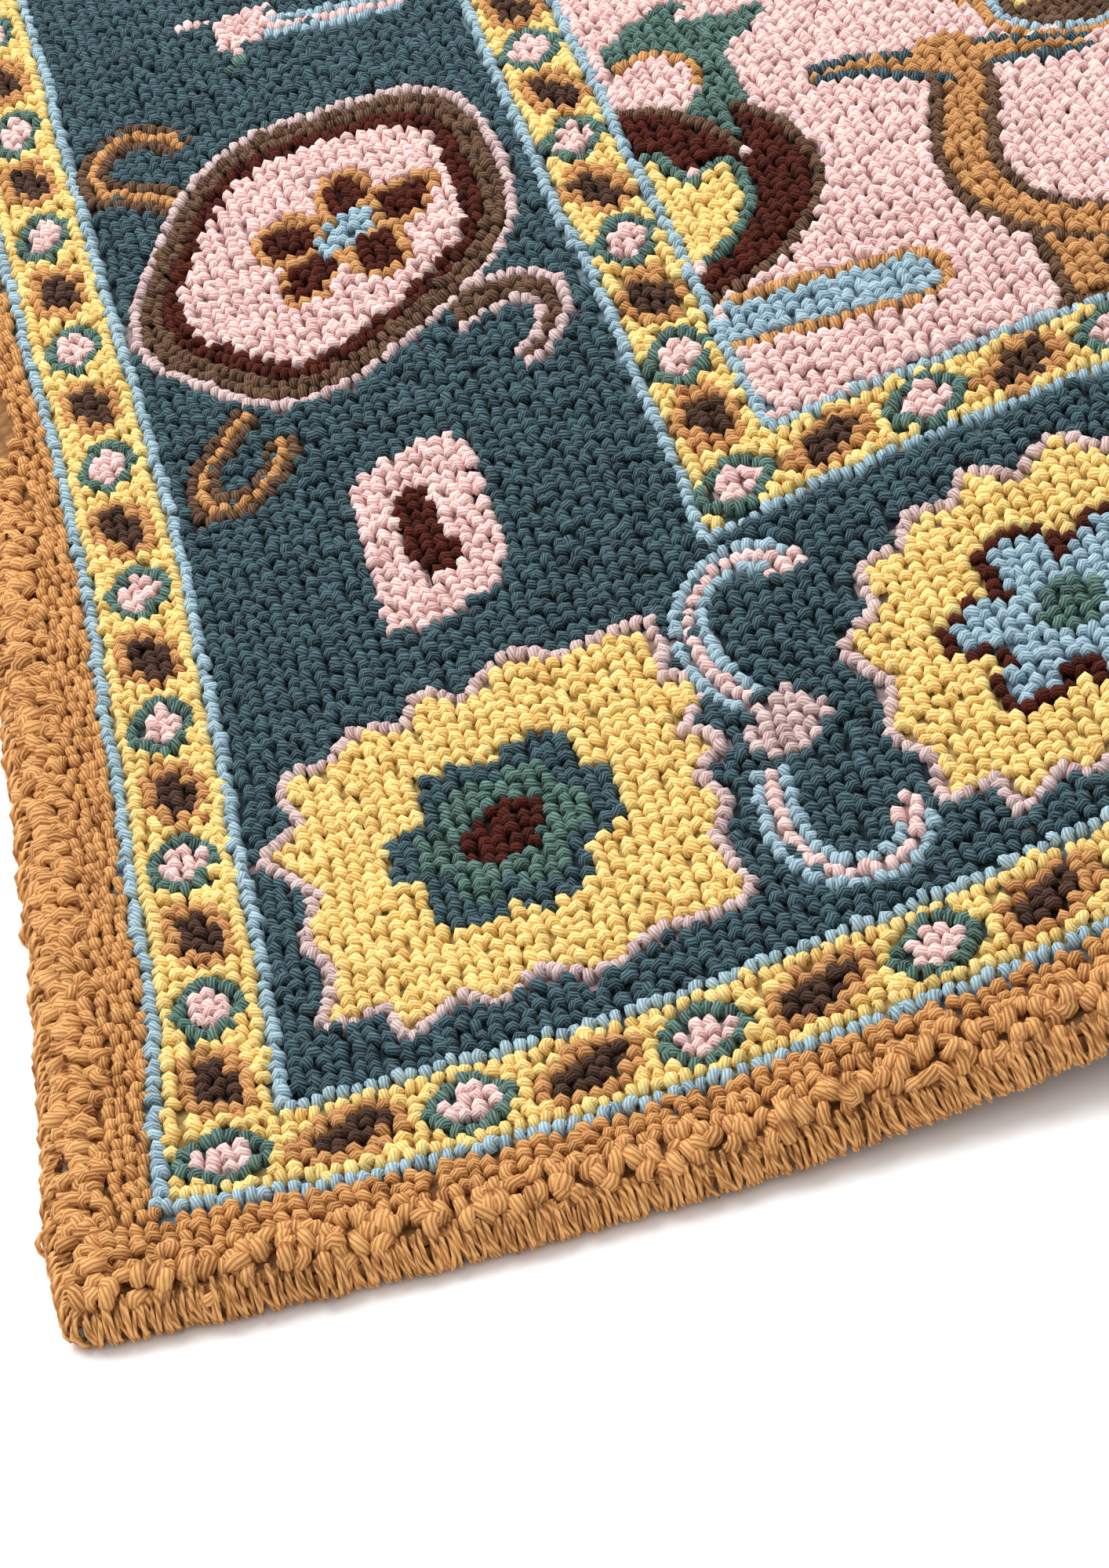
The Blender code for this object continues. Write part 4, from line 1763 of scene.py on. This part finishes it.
    def build(self) -> list[bpy.types.Object]:
        """Makes the rim's loops and strands."""
        wool = LoopWool(Yarn.CAMEL).material()
        # The strands' wool, with less painted shade towards their ends than the loops'.
        whipping = LoopWool(Yarn.CAMEL, plies=2, turns=3.0, foot_shade=0.35).material()
        setter = Setter(self.loops())
        pieces = [self.near_loops(setter, wool)]
        setter.clear()
        setter = Setter(self.strands(6, self.strand_half, 400))
        near_run = np.arange(-self.side_reach, self.end_reach, self.strand_pitch)
        pieces.append(setter.build("whipping_strands_near", self.strand_tufts(Outline(), near_run), whipping))
        setter.clear()
        setter = Setter(self.strands(4, 0.5 * self.far_pitch + 0.0004, 500, 4))
        half_arc = CORNER_RADIUS * pi / 4
        side, end = LENGTH / 2 - CORNER_RADIUS + half_arc, WIDTH / 2 - CORNER_RADIUS + half_arc
        for near_s in (True, False):
            for near_t in (True, False):
                run = np.arange(-side, end, self.far_pitch)
                if near_s and near_t:
                    run = run[(run < -self.side_reach) | (run > self.end_reach)]
                name = f"whipping_strands_{'left' if near_s else 'right'}_{'front' if near_t else 'back'}"
                pieces.append(setter.build(name, self.strand_tufts(Outline(near_s, near_t), run), whipping))
        setter.clear()
        return pieces


@dataclass(frozen=True)
class Viewpoint:
    """Where the camera stands and what it looks at."""

    azimuth: float = radians(3.59)
    elevation: float = radians(36.96)
    roll: float = radians(-13.64)
    distance: float = 1.487
    lens: float = 126.5
    target_s: float = 0.1348
    target_t: float = 0.187

    def matrix(self) -> Matrix:
        """The camera's place and turn."""
        near_corner_x, near_corner_y = -(WIDTH - LIE.left_out) / 2, -LENGTH / 2
        target = Vector((near_corner_x + self.target_s, near_corner_y + self.target_t, 0.0))
        az, el = self.azimuth, self.elevation
        back = Vector((sin(az) * cos(el), -cos(az) * cos(el), sin(el)))
        level = Vector((cos(az), sin(az), 0.0))
        up = back.cross(level)
        right = cos(self.roll) * level + sin(self.roll) * up
        over = -sin(self.roll) * level + cos(self.roll) * up
        turned = Matrix((right, over, back)).transposed().to_4x4()
        return Matrix.Translation(target + back * self.distance) @ turned


@dataclass(frozen=True)
class Studio:
    """A white floor, soft light from all round with a larger share from above and behind, and the camera."""

    viewpoint: Viewpoint = Viewpoint()
    floor_drop: float = 0.0004
    floor_half: float = 8.0

    def build(self) -> None:
        """Makes the floor, the light and the camera."""
        self.floor()
        self.light()
        camera = bpy.data.cameras.new("camera")
        camera.lens = self.viewpoint.lens
        camera.sensor_width = 36.0
        stand = shown("camera", camera)
        stand.matrix_world = self.viewpoint.matrix()
        bpy.context.scene.camera = stand
        bpy.context.scene.view_settings.view_transform = "Standard"

    def floor(self) -> None:
        """The plain white floor."""
        shape = bmesh.new()
        bmesh.ops.create_grid(shape, x_segments=1, y_segments=1, size=self.floor_half)
        bmesh.ops.translate(shape, verts=shape.verts[:], vec=(0, 0, -self.floor_drop))
        mesh = finished("studio_floor", shape)
        material, _, shader = new_material("white_floor")
        shader.inputs["Base Color"].default_value = (0.96, 0.96, 0.96, 1.0)
        shader.inputs["Roughness"].default_value = 0.9
        mesh.materials.append(material)
        floor = shown("studio_floor", mesh)

    def light(self) -> None:
        """Even light from all round, and one wide lamp."""
        world = bpy.data.worlds.new("studio")
        world.use_nodes = True
        backdrop = world.node_tree.nodes["Background"]
        backdrop.inputs["Color"].default_value = (1.0, 1.0, 1.0, 1.0)
        backdrop.inputs["Strength"].default_value = 0.85
        bpy.context.scene.world = world
        lamp = bpy.data.lights.new("wide_lamp", "AREA")
        lamp.shape = "SQUARE"
        lamp.size = 2.4
        lamp.energy = 95.0
        holder = shown("wide_lamp", lamp)
        holder.location = (-1.6, 0.2, 2.6)
        aim = Vector((-0.5, -0.9, 0.0)) - holder.location
        holder.rotation_euler = aim.to_track_quat("-Z", "Y").to_euler()


class Rug:
    """The whole rug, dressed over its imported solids."""

    def dress_solids(self) -> None:
        """Gives the backing and the whipped strips their finishes."""
        finishes = {
            "backing_cloth": WovenBacking().material(),
            "whipped_edge_front": WhippingWool("X").material(),
            "whipped_edge_left": WhippingWool("Y").material(),
        }
        finishes["whipped_edge_back"] = finishes["whipped_edge_front"]
        finishes["whipped_edge_right"] = finishes["whipped_edge_left"]
        for node, finish in finishes.items():
            solid = frame["nodes"][node]
            for slot in solid.material_slots:
                slot.material = finish

    def build(self) -> None:
        """Makes every piece of the rug and says what carries it."""
        design = Design()
        design.draw()
        self.dress_solids()
        ground = PileGround().build(design, NEAR_ZONE)
        loops = LoopPile().build(design)
        rim = Rim().build()
        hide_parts("tufted_pile")
        for piece in (ground, *loops, *rim):
            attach(piece, "root")
        for piece in (ground, *loops, *rim):
            LOG.info("%s: %d faces", piece.name, len(piece.data.polygons))


def write_sizes() -> None:
    """Brings the scene up to date."""
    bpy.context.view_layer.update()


def main() -> None:
    """Builds the rug and its studio."""
    logging.basicConfig(level=logging.INFO, format="%(message)s")
    Rug().build()
    Studio().build()
    write_sizes()


if __name__ == "__main__":
    main()
